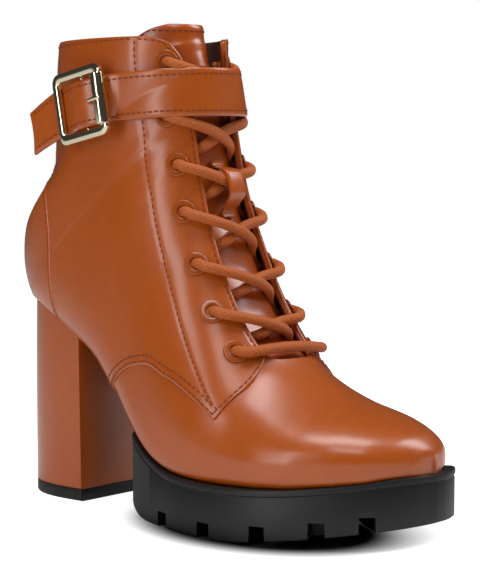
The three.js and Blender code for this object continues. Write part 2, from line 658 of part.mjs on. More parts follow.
// The keeper: a narrow loop on the tongue that the lace's third crossing runs through.
const keeperRise = [
  { at: 0, lift: 0.03 },
  { at: 0.16, lift: 0.08 },
  { at: 0.42, lift: 0.75 },
  { at: 0.6, lift: 1 },
  { at: 1.25, lift: 1 },
  { at: 1.45, lift: 0.75 },
  { at: 1.7, lift: 0.08 },
  { at: 1.9, lift: 0.03 },
];
const keeperStart = 11.75;
function makeKeeper() {
  const bottom = (u) => tongueFace(u) + gap + read(keeperRise, 'lift', u - keeperStart) * (1.75 * laceThickness + 1);
  return sheet({
    places: [0, 0.14, 0.24, 0.34, 0.44, 0.54, 0.7, 0.92, 1.14, 1.3, 1.42, 1.54, 1.66, 1.76, 1.9].map((at) => keeperStart + at),
    span: () => [-keeperWidth / 2, keeperWidth / 2],
    across: 3,
    inner: bottom,
    outer: (u) => bottom(u) + 1.2,
  });
}

// How far the surface comes up out of its own tangent plane within a radius.
function bulge(u, girth, lift, radius) {
  const plane = seat(u, girth, lift).invert();
  const angle = angleAtGirth(u, girth, false);
  const stretch = skin(u + 0.1, angle, lift).distanceTo(skin(u - 0.1, angle, lift)) / 0.2;
  const places = [-1, 1].flatMap((way) => [[(way * radius) / stretch, 0], [0, way * radius]]);
  const heights = places.map(
    ([du, dg]) => skin(u + du, angleAtGirth(u + du, girth + dg, false), lift).applyMatrix4(plane).z,
  );
  return Math.max(0, ...heights);
}

// An eyelet: a rolled flange on the quarter and a barrel through it.
function makeEyelet(u, girth) {
  const through = -wall - leather - 0.5;
  const foot = gap + bulge(u, girth, leather, eyeletFlange);
  const profile = [
    [eyeletHole, through], [eyeletHole + 0.5, through], [eyeletHole + 0.5, foot], [eyeletFlange, foot],
    [eyeletFlange - 0.7, foot + 0.85], [eyeletHole + 0.6, foot + 0.85],
  ];
  return turned(profile, seat(u, girth, leather));
}

// A cord through points of the last: each is a section, a girth and a lift, and flat squeezes it.
function cord(path, flat) {
  const places = path.map(({ u, g, lift }) => {
    const angle = angleAtGirth(u, g, false);
    return { at: skin(u, angle, lift), out: lastNormal(u, angle) };
  });
  const rings = places.map(({ at, out }, i) => {
    const along = places[Math.min(i + 1, places.length - 1)].at
      .clone()
      .sub(places[Math.max(i - 1, 0)].at)
      .normalize();
    const side = new THREE.Vector3().crossVectors(along, out).normalize();
    const rise = new THREE.Vector3().crossVectors(side, along);
    return steps(0, 2 * Math.PI, 7)
      .slice(0, -1)
      .map((t) =>
        at
          .clone()
          .addScaledVector(side, (Math.cos(t) * laceThickness) / 2 / flat)
          .addScaledVector(rise, (Math.sin(t) * laceThickness * flat) / 2),
      );
  });
  return throughRings(rings);
}

// The section at which the surface lifted off the last has a given height, at a given girth.
function sectionAtHeight(girth, lift, height) {
  let [low, high] = [7, 25.9];
  for (let k = 0; k < 18; k++) {
    const u = (low + high) / 2;
    if (skin(u, angleAtGirth(u, girth, false), lift).z < height) low = u;
    else high = u;
  }
  return low;
}
const eyeletHeight = ({ at, girth }, sign) =>
  skin(at, angleAtGirth(at, sign * girth * eyeletPitch, false), leather).z;

// One crossing of the lace between two pairs of eyelets: the lateral strand lies over the medial one.
function makeCrossing(upper, lower, flat) {
  const radius = (laceThickness * flat) / 2;
  const high = leather + gap + radius + 0.4;
  const [start, end] = [upper.girth * eyeletPitch, lower.girth * eyeletPitch];
  const strand = (sign, middle, low) => {
    const [top, bottom] = [eyeletHeight(upper, sign), eyeletHeight(lower, -sign)];
    const turn = (reach) => (start - reach) / (start + end);
    const marks = [
      { at: turn(start - 6.7), lift: high },
      { at: turn(throatGap * 0.92), lift: high - 0.1 },
      { at: 0.5, lift: middle },
      { at: turn(-throatGap * (flat < 1 ? 0.5 : 0.76)), lift: low },
    ];
    return cord(
      steps(marks[0].at, marks[3].at, 7).map((s) => {
        const g = sign * (start - (start + end) * s);
        const height = top + (bottom - top) * s + straying * Math.sin(Math.PI * s);
        const u = sectionAtHeight(g, read(marks, 'lift', s), height);
        return { u, g, lift: Math.max(read(marks, 'lift', s), tongueFace(u) + gap + radius + 0.1) };
      }),
      flat,
    );
  };
  const middle = -0.6;
  return strand(-1, middle + radius - 0.4, -1.7).add(strand(1, middle - radius + 0.4, -2.9));
}

function makeBar() {
  const { girth } = eyeletRows[6];
  const reach = girth * eyeletPitch - 6.7;
  const high = leather + gap + laceThickness / 2 + 0.9;
  const [left, right] = [eyeletHeight(eyeletRows[6], -1), eyeletHeight(eyeletRows[6], 1)];
  return cord(
    steps(-reach, reach, 8).map((g) => {
      const lift = high - 1.6 * Math.cos((g / reach) * 1.5) ** 2;
      const height = (left * (reach - g) + right * (reach + g)) / (2 * reach) + straying * Math.cos((g / reach) * 1.5);
      return { u: sectionAtHeight(g, lift, height), g, lift };
    }),
    1,
  );
}

// The strap's way round the ankle, from its sewn medial end to the buckle: turn is the angle round
// the shaft, height a share of collarHeight, and lift its distance from the leather in millimetres.
const strapRows = [
  { at: 0, turn: 2.35, height: 0.868, lift: 0.6 },
  { at: 1, turn: 1.6, height: 0.876, lift: 0.6 },
  { at: 2, turn: 1.05, height: 0.882, lift: 1.1 },
  { at: 3, turn: 0.72, height: 0.885, lift: 2.8 },
  { at: 4, turn: 0.46, height: 0.886, lift: 3.8 },
  { at: 5, turn: 0, height: 0.886, lift: 4 },
  { at: 6, turn: -0.46, height: 0.884, lift: 3.8 },
  { at: 7, turn: -0.72, height: 0.882, lift: 3 },
  { at: 8, turn: -1.05, height: 0.878, lift: 1.1 },
  { at: 9, turn: -1.27, height: 0.875, lift: 0.6 },
];

// Where the strap runs through the buckle and on to its free end, in the buckle's own frame:
// along the strap, down from its middle, and out from the buckle's middle to the strap's inner face.
const strapEnd = [
  { along: 13, drop: 0, out: -5.3 },
  { along: 8, drop: 0, out: -4.1 },
  { along: 4, drop: 0, out: -1.9 },
  { along: 0, drop: 0, out: -1.2 },
  { along: -4, drop: 0, out: -1.9 },
  { along: -9, drop: 0, out: -4.1 },
  { along: -14.6, drop: 0.4, out: -4.3 },
  { along: -20, drop: 1.4, out: -3.9 },
  { along: -27, drop: 3.2, out: -3.4 },
  { along: -34, drop: 5.8, out: -2.9 },
];

const shaftMiddle = collarBack + shaftDepth / 2;
const buckleHeightMiddle = 0.8625 * collarHeight;
const barDrop = 3.4;
const buckleOut = 0.5 * shaftWidth + leather + 6;
const tilt = (buckleTilt * Math.PI) / 180;
const buckleFrame = new THREE.Matrix4()
  .makeBasis(
    new THREE.Vector3(Math.cos(tilt), 0, Math.sin(tilt)),
    new THREE.Vector3(-Math.sin(tilt), 0, Math.cos(tilt)),
    new THREE.Vector3(0, -1, 0),
  )
  .setPosition(shaftMiddle - 2.6, -buckleOut, buckleHeightMiddle);

// A point of the shaft at an angle and a height, moved out by lift.
function shaftPoint(turn, height, lift) {
  let [low, high] = [13.5, rows.length - 1];
  for (let k = 0; k < 26; k++) {
    const u = (low + high) / 2;
    if (skin(u, turn, lift).z < height) low = u;
    else high = u;
  }
  return skin(low, turn, lift);
}

function makeStrap() {
  const half = strapWidth / 2;
  const round = steps(0, 9, 34).map((at) => {
    const [turn, middle] = [read(strapRows, 'turn', at), read(strapRows, 'height', at) * collarHeight];
    const lift = leather + read(strapRows, 'lift', at);
    return [
      shaftPoint(turn, middle + half, lift), shaftPoint(turn, middle - half, lift),
      shaftPoint(turn, middle - half, lift + strapThickness), shaftPoint(turn, middle + half, lift + strapThickness),
    ];
  });
  const end = strapEnd.map(({ along, drop, out }, i) => {
    const slant = i === strapEnd.length - 1 ? 1.6 : 0;
    return [
      [along - slant, half - drop, out], [along + slant, -half - drop, out],
      [along + slant, -half - drop, out + strapThickness], [along - slant, half - drop, out + strapThickness],
    ].map(([x, y, z]) => new THREE.Vector3(x, y, z).applyMatrix4(buckleFrame));
  });
  const hole = (along) =>
    rod(new THREE.Matrix4().makeTranslation(along, 0, 0).premultiply(buckleFrame), 1.5, -9, 6, 10);
  return throughRings([...round, ...end]).subtract(hole(5.2)).subtract(hole(21.5));
}

// A rounded rectangle's outline about the buckle's middle.
function rounded(width, height, radius) {
  const points = [];
  for (let q = 0; q < 4; q++) {
    const [sx, sy] = [[1, 1], [-1, 1], [-1, -1], [1, -1]][q];
    for (let k = 0; k <= 3; k++) {
      const t = ((q + k / 3) * Math.PI) / 2;
      points.push([sx * (width / 2 - radius) + radius * Math.cos(t), sy * (height / 2 - radius) + radius * Math.sin(t)]);
    }
  }
  return points;
}

const inBuckle = (x, y, z) => new THREE.Vector3(x, y, z).applyMatrix4(buckleFrame);
const plate = (outline, from, to, bevel = 0) =>
  throughRings(
    [[from, -bevel], [from + bevel, 0], [to - bevel, 0], [to, -bevel]]
      .filter((_, i) => bevel > 0 || i % 3 === 0)
      .map(([z, ease]) =>
        outline.map(([x, y]) => inBuckle(x + ease * Math.sign(x), y + ease * Math.sign(y), z)),
      ),
  );

// Turns a rod's own upright to lie along the buckle's height.
const upright = (along, out) =>
  new THREE.Matrix4()
    .makeRotationX(-Math.PI / 2)
    .setPosition(along, 0, out)
    .premultiply(buckleFrame);
const rollerAlong = buckleWidth / 2 - 1.7;
const barHalf = buckleHeight / 2 - buckleBar;

function makeFrame() {
  const ring = plate(rounded(buckleWidth, buckleHeight, 5), -1.2, 1.2, 0.5).subtract(
    plate(rounded(buckleWidth - 2 * buckleBar, buckleHeight - 2 * buckleBar, 2.4), -2, 2),
  );
  const gapForRoller = plate(
    [[rollerAlong - 4, -barHalf + 0.4], [rollerAlong + 4, -barHalf + 0.4], [rollerAlong + 4, barHalf - 0.4], [rollerAlong - 4, barHalf - 0.4]].reverse(),
    -3, 3,
  );
  const centre = rod(upright(0, -barDrop), 0.9, -barHalf - 1, barHalf + 1, 10);
  const leg = (side) =>
    plate([[-1, side * (barHalf + 0.6)], [1, side * (barHalf + 0.6)], [1, side * (barHalf + 2)], [-1, side * (barHalf + 2)]], -4.2, -0.6);
  return ring
    .subtract(gapForRoller)
    .add(rod(upright(rollerAlong, 0), 0.9, -barHalf - 0.5, barHalf + 0.5, 10))
    .add(centre.add(leg(1)).add(leg(-1)));
}

function makeRoller() {
  const along = barHalf - 0.7;
  return rod(upright(rollerAlong, 0), 2.1, -along, along, 16).subtract(rod(upright(rollerAlong, 0), 1.2, -20, 20, 12));
}

// The prong: an eye round the buckle's middle bar, and a bent pin that comes up through the strap.
function makeProng() {
  const path = [
    [0.8, -3.9], [3, -3.9], [4.3, -3.5], [5.1, -2], [5.5, -0.2], [6.6, 1.4], [8.6, 2.5], [11.4, 3.1], [13.8, 3.35],
  ];
  const rings = path.map(([x, z], i) => {
    const [a, b] = [path[Math.max(0, i - 1)], path[Math.min(path.length - 1, i + 1)]];
    const length = Math.hypot(b[0] - a[0], b[1] - a[1]);
    const [nx, nz] = [-(b[1] - a[1]) / length, (b[0] - a[0]) / length];
    const radius = i === path.length - 1 ? 0.6 : 0.8;
    return steps(0, 2 * Math.PI, 8)
      .slice(0, -1)
      .map((t) => inBuckle(x + radius * Math.cos(t) * nx, radius * Math.sin(t), z + radius * Math.cos(t) * nz));
  });
  const eye = rod(upright(0, -barDrop), 1.9, -1, 1, 14).subtract(rod(upright(0, -barDrop), 1.2, -5, 5, 12));
  const pin = throughRings(rings).subtract(rod(upright(0, -barDrop), 1.2, -5, 5, 12));
  return largest(eye.add(pin));
}

// The tab that holds the buckle to the shaft: flat against the leather, looped round the middle bar.
function makeTab(shaft) {
  const loop = rod(upright(0, -barDrop), 1.9, -8, 8, 16);
  const foot = plate([[-10, -8], [1.9, -8], [1.9, 8], [-10, 8]], -9, -4.8).subtract(shaft);
  const slot = plate([[-4, -1.35], [4, -1.35], [4, 1.35], [-4, 1.35]], -9, 3);
  return largest(foot.add(loop).subtract(rod(upright(0, -barDrop), 1.2, -20, 20, 12)).subtract(slot));
}

export { lastPoint, rows, skin, angleAtGirth };


const group = new THREE.Group();

function put(name, made, color, roughness, metalness = 0) {
  const mesh = made.simplify(fine).getMesh();
  const corners = new Float32Array(mesh.numVert * 3);
  for (let i = 0; i < mesh.numVert; i++) {
    for (let k = 0; k < 3; k++) corners[3 * i + k] = mesh.vertProperties[i * mesh.numProp + k];
  }
  const geometry = new THREE.BufferGeometry();
  geometry.setAttribute('position', new THREE.BufferAttribute(corners, 3));
  geometry.setIndex(new THREE.BufferAttribute(new Uint32Array(mesh.triVerts), 1));
  const material = new THREE.MeshStandardMaterial({ color, roughness, metalness });
  const piece = new THREE.Mesh(geometry, material);
  piece.name = name;
  group.add(piece);
}

const tan = 0xb4561f;
const gold = 0xd8bd7c;
const cutter = outside(gap);
put('upper', makeUpper(), tan, 0.4);
put('outsole', makeOutsole(cutter), 0x2a2a28, 0.8);
put('heel_block', makeHeel(cutter), tan, 0.4);
put('heel_top_piece', makeTopPiece(), 0x1c1c1c, 0.7);
put('insole', makeInsole(), 0xa8734a, 0.7);
put('tongue', makeTongue(), tan, 0.45);
put('tongue_keeper', makeKeeper(), tan, 0.45);
for (const { name, u, girth } of eyeletSeats) put(name, makeEyelet(u, girth), 0xa9571f, 0.35, 0.3);
for (let i = 0; i < 6; i++) {
  put(`lace_crossing_${i + 1}`, makeCrossing(eyeletRows[i], eyeletRows[i + 1], [0.55, 0.55, 0.74][i] ?? 1), 0xc0642a, 0.7);
}
put('lace_bar', makeBar(), 0xc0642a, 0.7);
put('strap', makeStrap(), tan, 0.4);
put('buckle_tab', makeTab(cutter), tan, 0.45);
put('buckle_frame', makeFrame(), gold, 0.15, 1);
put('buckle_roller', makeRoller(), gold, 0.15, 1);
put('buckle_prong', makeProng(), gold, 0.15, 1);

// The finished boot stands with the middle of its footprint at the origin.
const bounds = new THREE.Box3().setFromObject(group, true);
group.position.set(-(bounds.min.x + bounds.max.x) / 2, -(bounds.min.y + bounds.max.y) / 2, -bounds.min.z);

export default group;
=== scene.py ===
"""A lace-up ankle boot in tan leather: its panels, stitches, lace, buckle and lugged sole."""

import math

import bmesh
import bpy
import numpy as np
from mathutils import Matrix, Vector
from mathutils.bvhtree import BVHTree

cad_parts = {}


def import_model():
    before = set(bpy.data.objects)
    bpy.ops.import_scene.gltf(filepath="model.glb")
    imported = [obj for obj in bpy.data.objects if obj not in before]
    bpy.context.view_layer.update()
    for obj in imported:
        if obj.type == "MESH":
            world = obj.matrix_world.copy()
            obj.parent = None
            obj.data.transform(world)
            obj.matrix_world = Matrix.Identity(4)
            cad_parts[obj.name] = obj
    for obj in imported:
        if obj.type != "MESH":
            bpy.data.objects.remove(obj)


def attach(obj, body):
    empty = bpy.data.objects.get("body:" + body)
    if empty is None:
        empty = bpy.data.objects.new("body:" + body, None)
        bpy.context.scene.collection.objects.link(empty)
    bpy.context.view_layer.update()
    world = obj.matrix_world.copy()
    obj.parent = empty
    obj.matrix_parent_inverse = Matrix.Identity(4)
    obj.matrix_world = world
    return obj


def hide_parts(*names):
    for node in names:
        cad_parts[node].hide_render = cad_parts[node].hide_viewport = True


# Driving sizes in millimetres, in the frame that the boot was drawn in, and the buckle's tilt.
FOOT_LENGTH = 238.5
BALL_WIDTH = 92.0
FOREFOOT_HEIGHT = 22.0
TOE_SPRING = 9.0
SEAT_HEIGHT = 95.3
INSTEP_HEIGHT = 64.0
THROAT_REACH = 157.5
COLLAR_HEIGHT = 220.0
SHAFT_DEPTH = 90.0
SHAFT_WIDTH = 70.0
WALL = 2.0
LEATHER = 1.0
COUNTER_LIFT = 1.45
LASTING_MARGIN = 8.5
THROAT_GAP = 16.0
TONGUE_WIDTH = 52.0
TONGUE_THICKNESS = 1.8
TONGUE_RECESS = 5.8
KEEPER_WIDTH = 9.5
EYELET_PITCH = 27.8
EYELET_HOLE = 2.75
EYELET_FLANGE = 5.5
LACE = 4.8
STRAYING = 2.2
STRAP_WIDTH = 22.0
STRAP_THICKNESS = 2.1
BUCKLE_WIDTH = 32.4
BUCKLE_HEIGHT = 33.2
BUCKLE_BAR = 3.9
BUCKLE_TILT = math.radians(11)
BAR_DROP = 3.4
SOLE_WIDTH = 98.0
RIM_LIP = 1.6
LUG_DEPTH = 7.0
LUG_GAP = 8.0
HEEL_TOP_WIDTH = 58.0
HEEL_BOTTOM_WIDTH = 56.5
HEEL_DEPTH = 49.5
HEEL_REAR = 9.1
HEEL_RAKE = 2.5
TOP_PIECE = 5.9
STITCH_PITCH = 3.0
STITCH_LENGTH = 2.2
STITCH_WIDTH = 0.85
THROAT_STITCH_INSET = 2.2
EDGE_STITCH_INSET = 2.0
ARCH_THICKNESS = 2.0
SOCK_THICKNESS = 2.4
SOCK_GAP = 0.1
EYELET_ROUND = 0.75

# Places along the last, in sections counted from the toe tip. The lace lies between the two laced
# ones, and between the two of the margin the upper is turned in under the foot.
THROAT_START = 7.08
QUARTER_TIP = 7.14
KEEPER_START = 11.75
COUNTER_TOP = 23.44
COLLAR_STITCHES = 25.86
COLLAR = 26.0
TONGUE_TOP = 26.38
LACED_FROM = 7.0
LACED_TO = 25.9
MARGIN_FROM = 1.4
MARGIN_TO = 16.6

# Millimetres from one section to the next where an edge crosses the sections: it rolls off by them.
TIP_STEP = 18.0
COUNTER_STEP = 18.0
COLLAR_STEP = 12.5
TONGUE_STEP = 13.0

# The drawing's frame moved to the middle of the boot's footprint, a millimetre in metres, and a
# metre in millimetres, which a pattern's size in millimetres is divided into for its scale.
SHIFT = np.array([-121.128, 0.882, 0.0])
MM = 0.001
METRE = 1000.0

# The camera that the photograph was taken with: place, turn, tilt, and focal length in pixels.
EYE = np.array([646.77, -586.14, 163.16])
EYE_TURN = math.radians(48.86)
EYE_TILT = math.radians(4.44)
FOCAL_PIXELS = 1700.0
PHOTO_HEIGHT = 587.0

# The room's strength on the boot, and the share of the floor's glow that reaches it. The camera
# sees both in full.
AMBIENT = 0.05
BOUNCE = 0.09

# The floor's glow near the boot and far from it, and those distances from the middle in metres.
FLOOR_GLOW = (0.8, 0.98)
GLOW_REACH = (0.05, 0.4)

# The soft dark shadow painted into the floor under the forefoot: its middle and half sizes in metres,
# where it ends in half sizes, and the paper's colour in the painted shadow and outside it.
SHADOW_MIDDLE = (0.040, -0.012)
SHADOW_HALF = (0.064, 0.046)
SHADOW_EDGE = (0.8, 1.3)
PAINTED_SHADOW_PAPER = (0.03, 0.9)

# The softboxes in metres and watts: name, place, aim, width, height and power.
SOFTBOXES = [
    ("front_left_box", (-0.03, -1.15, 0.45), (0, 0, 0.12), 0.28, 0.9, 4.4),
    ("overhead_box", (0.12, -0.1, 1.4), (0, 0, 0), 0.8, 0.45, 9.0),
    ("camera_side_box", (0.55, -0.55, 1.15), (0, 0, 0.1), 0.4, 0.4, 2.6),
    ("far_side_box", (0.66, 0.75, 1.0), (0, 0, 0.12), 0.5, 0.7, 8.0),
]

HEEL_RISE = SEAT_HEIGHT - FOREFOOT_HEIGHT
SHAFT_HEIGHT = COLLAR_HEIGHT - SEAT_HEIGHT
COLLAR_BACK = 0.131 * FOOT_LENGTH
COLLAR_FRONT = COLLAR_BACK + SHAFT_DEPTH
THROAT_HEIGHT = FOREFOOT_HEIGHT + INSTEP_HEIGHT

# Sections of the forefoot, from the toe tip: x of the sole and of the crown in foot lengths,
# spring in toe springs, height in instep heights, lateral, medial and crest in ball widths, then
# the section's form: where it is widest, and the powers of its upper and lower halves.
FOOT_ROWS = [
    (1.0, 1.0, 0.8, 0.15, 0.072, 0.077, 0.074, 0.45, 2, 2.4),
    (0.994, 0.994, 0.8, 0.192, -0.045, 0.168, 0.066, 0.44, 2.1, 2.8),
    (0.975, 0.975, 0.75, 0.278, -0.16, 0.262, 0.056, 0.42, 2.05, 3.6),
    (0.94, 0.94, 0.57, 0.363, -0.272, 0.348, 0.047, 0.4, 2.08, 5),
    (0.885, 0.887, 0.37, 0.456, -0.375, 0.434, 0.041, 0.37, 2.06, 6),
    (0.818, 0.826, 0.17, 0.554, -0.452, 0.47, 0.033, 0.33, 1.9, 7),
    (0.746, 0.763, 0.05, 0.685, -0.495, 0.481, 0.028, 0.29, 1.75, 7),
    (0.675, 0.7065, 0, 0.825, -0.505, 0.482, 0.022, 0.25, 1.82, 7),
]

# Sections from the throat up the shaft: x in foot lengths, rise to the seat, up the shaft, lean
# and climb of the front, lateral, medial and crest in shaft widths, then the form as before.
ANKLE_ROWS = [
    (0.604, 0.007, 0, 1.0, 0, -0.675, 0.607, 0.02, 0.22, 2.05, 7),
    (0.533, 0.03, 0, 0.78, 0.097, -0.65, 0.571, 0.014, 0.22, 2.2, 6.5),
    (0.47, 0.105, 0, 0.6, 0.194, -0.612, 0.536, 0.01, 0.23, 2.3, 6),
    (0.411, 0.25, 0, 0.42, 0.313, -0.568, 0.507, 0.005, 0.26, 2.35, 5.5),
    (0.352, 0.445, 0, 0.265, 0.425, -0.53, 0.486, 0, 0.3, 2.35, 5),
    (0.285, 0.645, 0, 0.152, 0.53, -0.507, 0.471, 0, 0.36, 2.35, 4.8),
    (0.21, 0.78, 0, 0.087, 0.612, -0.493, 0.464, 0, 0.42, 2.38, 4.6),
    (0.134, 0.88, 0, 0.05, 0.675, -0.48, 0.464, 0, 0.46, 2.4, 4),
    (0.071, 0.955, 0, 0.03, 0.728, -0.471, 0.46, -0.006, 0.48, 2.38, 3.1),
    (0.042, 1.0, 0, 0.02, 0.769, -0.471, 0.452, -0.012, 0.5, 2.35, 2.6),
    (0.0225, 1.0, 0.046, 0.012, 0.802, -0.471, 0.444, -0.018, 0.5, 2.32, 2.35),
    (0.0125, 1.0, 0.126, 0.006, 0.836, -0.471, 0.432, -0.024, 0.5, 2.3, 2.25),
    (0.02, 1.0, 0.238, 0.002, 0.866, -0.471, 0.418, -0.03, 0.5, 2.27, 2.2),
    (0.056, 1.0, 0.335, 0, 0.89, -0.47, 0.402, -0.03, 0.5, 2.12, 2.02),
    (0.092, 1.0, 0.43, 0, 0.91, -0.472, 0.39, -0.03, 0.5, 2.12, 1.9),
    (0.108, 1.0, 0.54, 0, 0.933, -0.478, 0.378, -0.03, 0.5, 2.12, 1.9),
    (0.1165, 1.0, 0.68, 0, 0.955, -0.48, 0.37, -0.03, 0.5, 2.12, 2),
    (0.126, 1.0, 0.85, 0, 0.98, -0.482, 0.365, -0.03, 0.5, 2.12, 2.1),
    (0.131, 1.0, 1.0, 0, 1.0, -0.475, 0.36, -0.03, 0.5, 2.12, 2.1),
    (0.137, 1.0, 1.16, 0, 1.149, -0.47, 0.355, -0.03, 0.5, 2.12, 2.1),
]

# The girth from the crest to each edge of the throat by section, in throat gaps: lateral, medial.
THROAT_ROWS = [
    (7.08, 0.3, 0.3), (7.2, 0.66, 0.66), (7.45, 0.94, 0.94), (8, 1.06, 1.06), (9.5, 1.1, 1.1),
    (11, 1.07, 1.07), (12.5, 0.96, 0.96), (14, 0.93, 0.93), (17, 0.91, 0.91), (20.5, 0.94, 0.88),
    (22.8, 1.05, 0.74), (24, 1.18, 0.6), (25, 1.38, 0.52), (25.4, 1.5, 0.54), (25.7, 1.68, 0.64),
    (26, 2.05, 0.9), (26.6, 2.8, 1.6),
]

# The quarter's front edge and its seam over the vamp, in ball widths along the girth, by section.
QUARTER_ROWS = [
    (7.14, 0.32, 0.37), (7.22, 0.27, 0.43), (7.35, 0.215, 0.52), (7.48, 0.185, 0.612),
    (7.7, 0.16, 0.622), (8, 0.13, 0.633), (8.4, 0.1, 0.648), (9.5, 0.1, 0.717), (10.2, 0.1, 0.785),
    (10.8, 0.1, 0.855), (11.2, 0.1, 0.933), (11.5, 0.1, 1.005), (11.72, 0.1, 1.08),
    (11.9, 0.1, 1.18), (12.05, 0.1, 1.36), (12.5, 0.1, 1.37),
]

# The counter's seam from the side: up in shaft heights above the seat, and back in foot lengths.
COUNTER_SEAM = [
    (-0.3, 0.205), (-0.09, 0.188), (0.09, 0.179), (0.28, 0.176), (0.42, 0.165), (0.52, 0.14),
    (0.58, 0.1), (0.61, -0.05),
]

# The eyelets from the collar down: section, and girth in eyelet pitches.
EYELET_ROWS = [
    (23.62, 0.9), (17.93, 1.0), (14.25, 0.95), (12.57, 1.02), (11.05, 1.09), (9.6, 1.11), (8.11, 1.06),
]

# The stitched seam behind the eyelets, from the collar down: section, and girth in millimetres.
EYESTAY_SEAM = [
    (25.8, 39.4), (23.62, 40.1), (18.37, 40.3), (15.32, 42.2), (13.87, 43.1), (12.91, 44.7),
    (11.94, 46.0), (10.97, 47.9), (9.89, 49.5), (8.74, 51.2), (8.0, 52.3), (7.72, 53.0),
]

# The tongue's lateral and medial widths in half tongue widths, and how deep it lies, by section.
TONGUE_ROWS = [
    (6.45, 0.8, 0.8, 0.1), (7.0, 0.9, 0.9, 0.1), (7.4, 0.96, 0.96, 0.12), (7.7, 1, 1, 0.4),
    (8.2, 1, 1, 0.9), (8.8, 1, 1, 1), (12, 0.94, 0.94, 1), (15, 0.92, 0.92, 1), (18, 0.96, 0.92, 1.1),
    (22, 1.3, 1, 1.5), (25, 1.75, 1.2, 2), (26, 1.76, 1.16, 2.25), (26.15, 1.6, 1.14, 2.3),
    (26.28, 1.34, 1.06, 2.3), (26.38, 0.95, 0.86, 2.35),
]

# The keeper's arch over the lace: sections from its start, and height as a share of its rise.
KEEPER_ROWS = [
    (0, 0.03), (0.16, 0.08), (0.42, 0.75), (0.6, 1), (1.25, 1), (1.45, 0.75), (1.7, 0.08), (1.9, 0.03),
]

# The platform by stations from its back edge: at in foot lengths, lateral and medial edges in
# sole widths, and the lift of its underside in toe springs.
SOLE_ROWS = [
    (0.421, -0.355, 0.335, 0.9), (0.425, -0.375, 0.35, 0.75), (0.437, -0.388, 0.358, 0.38),
    (0.453, -0.4, 0.366, 0.14), (0.475, -0.412, 0.378, 0.02), (0.497, -0.427, 0.39, 0),
    (0.53, -0.452, 0.402, 0), (0.57, -0.478, 0.417, 0), (0.61, -0.495, 0.435, 0),
    (0.65, -0.504, 0.455, 0), (0.69, -0.506, 0.474, 0), (0.73, -0.5, 0.486, 0.07),
    (0.77, -0.483, 0.488, 0.2), (0.81, -0.452, 0.48, 0.33), (0.85, -0.408, 0.462, 0.46),
    (0.885, -0.36, 0.437, 0.6), (0.915, -0.31, 0.407, 0.73), (0.945, -0.245, 0.367, 0.85),
    (0.968, -0.182, 0.327, 0.94), (0.986, -0.115, 0.28, 1), (0.999, -0.045, 0.222, 1.05),
    (1.007, 0.02, 0.165, 1.08), (1.0105, 0.055, 0.125, 1.1),
]

# The notches between lugs: station in foot lengths, side, and reach from the edge in millimetres.
LUG_ROWS = [
    (0.533, -1, 15), (0.655, -1, 15), (0.775, -1, 15), (0.876, -1, 14), (0.947, -1, 64),
    (0.52, 1, 15), (0.74, 1, 15), (0.855, 1, 15),
]

# The foremost station, in foot lengths, at which the heel's top follows the upper.
HEEL_FRONT = 0.28

# The heel's outline from its breast: back in heel depths, and out in half widths.
HEEL_ROWS = [
    (0, 0), (0, 0.93), (0.02, 0.975), (0.07, 0.99), (0.25, 1), (0.42, 0.985), (0.58, 0.93),
    (0.72, 0.83), (0.83, 0.69), (0.91, 0.53), (0.965, 0.34), (0.99, 0.18), (1, 0),
]

# The strap's way round the ankle: step, turn from the crest, height in collar heights, and lift
# off the leather. Then its way through the buckle, in the buckle's frame: along, drop and out.
STRAP_ROWS = [
    (0, 2.35, 0.868, 0.6), (1, 1.6, 0.876, 0.6), (2, 1.05, 0.882, 1.1), (3, 0.72, 0.885, 2.8),
    (4, 0.46, 0.886, 3.8), (5, 0, 0.886, 4), (6, -0.46, 0.884, 3.8), (7, -0.72, 0.882, 3),
    (8, -1.05, 0.878, 1.1), (9, -1.27, 0.875, 0.6),
]
STRAP_END = [
    (13, 0, -5.3), (8, 0, -4.1), (4, 0, -1.9), (0, 0, -1.2), (-4, 0, -1.9), (-9, 0, -4.1),
    (-14.6, 0.4, -4.3), (-20, 1.4, -3.9), (-27, 3.4, -3.4), (-36, 6.4, -2.8),
]


# Reading the tables, and the surface of the last.
def read(table, column, at):
    """A column of a table between its rows, smoothly, for one place or many."""
    rows = np.array(table, float)
    places, values = rows[:, 0], rows[:, column]
    slopes = np.zeros(len(rows))
    slopes[1:-1] = (values[2:] - values[:-2]) / (places[2:] - places[:-2])
    slopes[0] = (values[1] - values[0]) / (places[1] - places[0])
    slopes[-1] = (values[-1] - values[-2]) / (places[-1] - places[-2])
    at = np.clip(np.asarray(at, float), places[0], places[-1])
    k = np.clip(np.searchsorted(places, at), 1, len(rows) - 1)
    span = places[k] - places[k - 1]
    t = (at - places[k - 1]) / span
    bend = t * (1 - t) * span * ((1 - t) * slopes[k - 1] - t * slopes[k])
    return values[k - 1] + (values[k] - values[k - 1]) * t * t * (3 - 2 * t) + bend


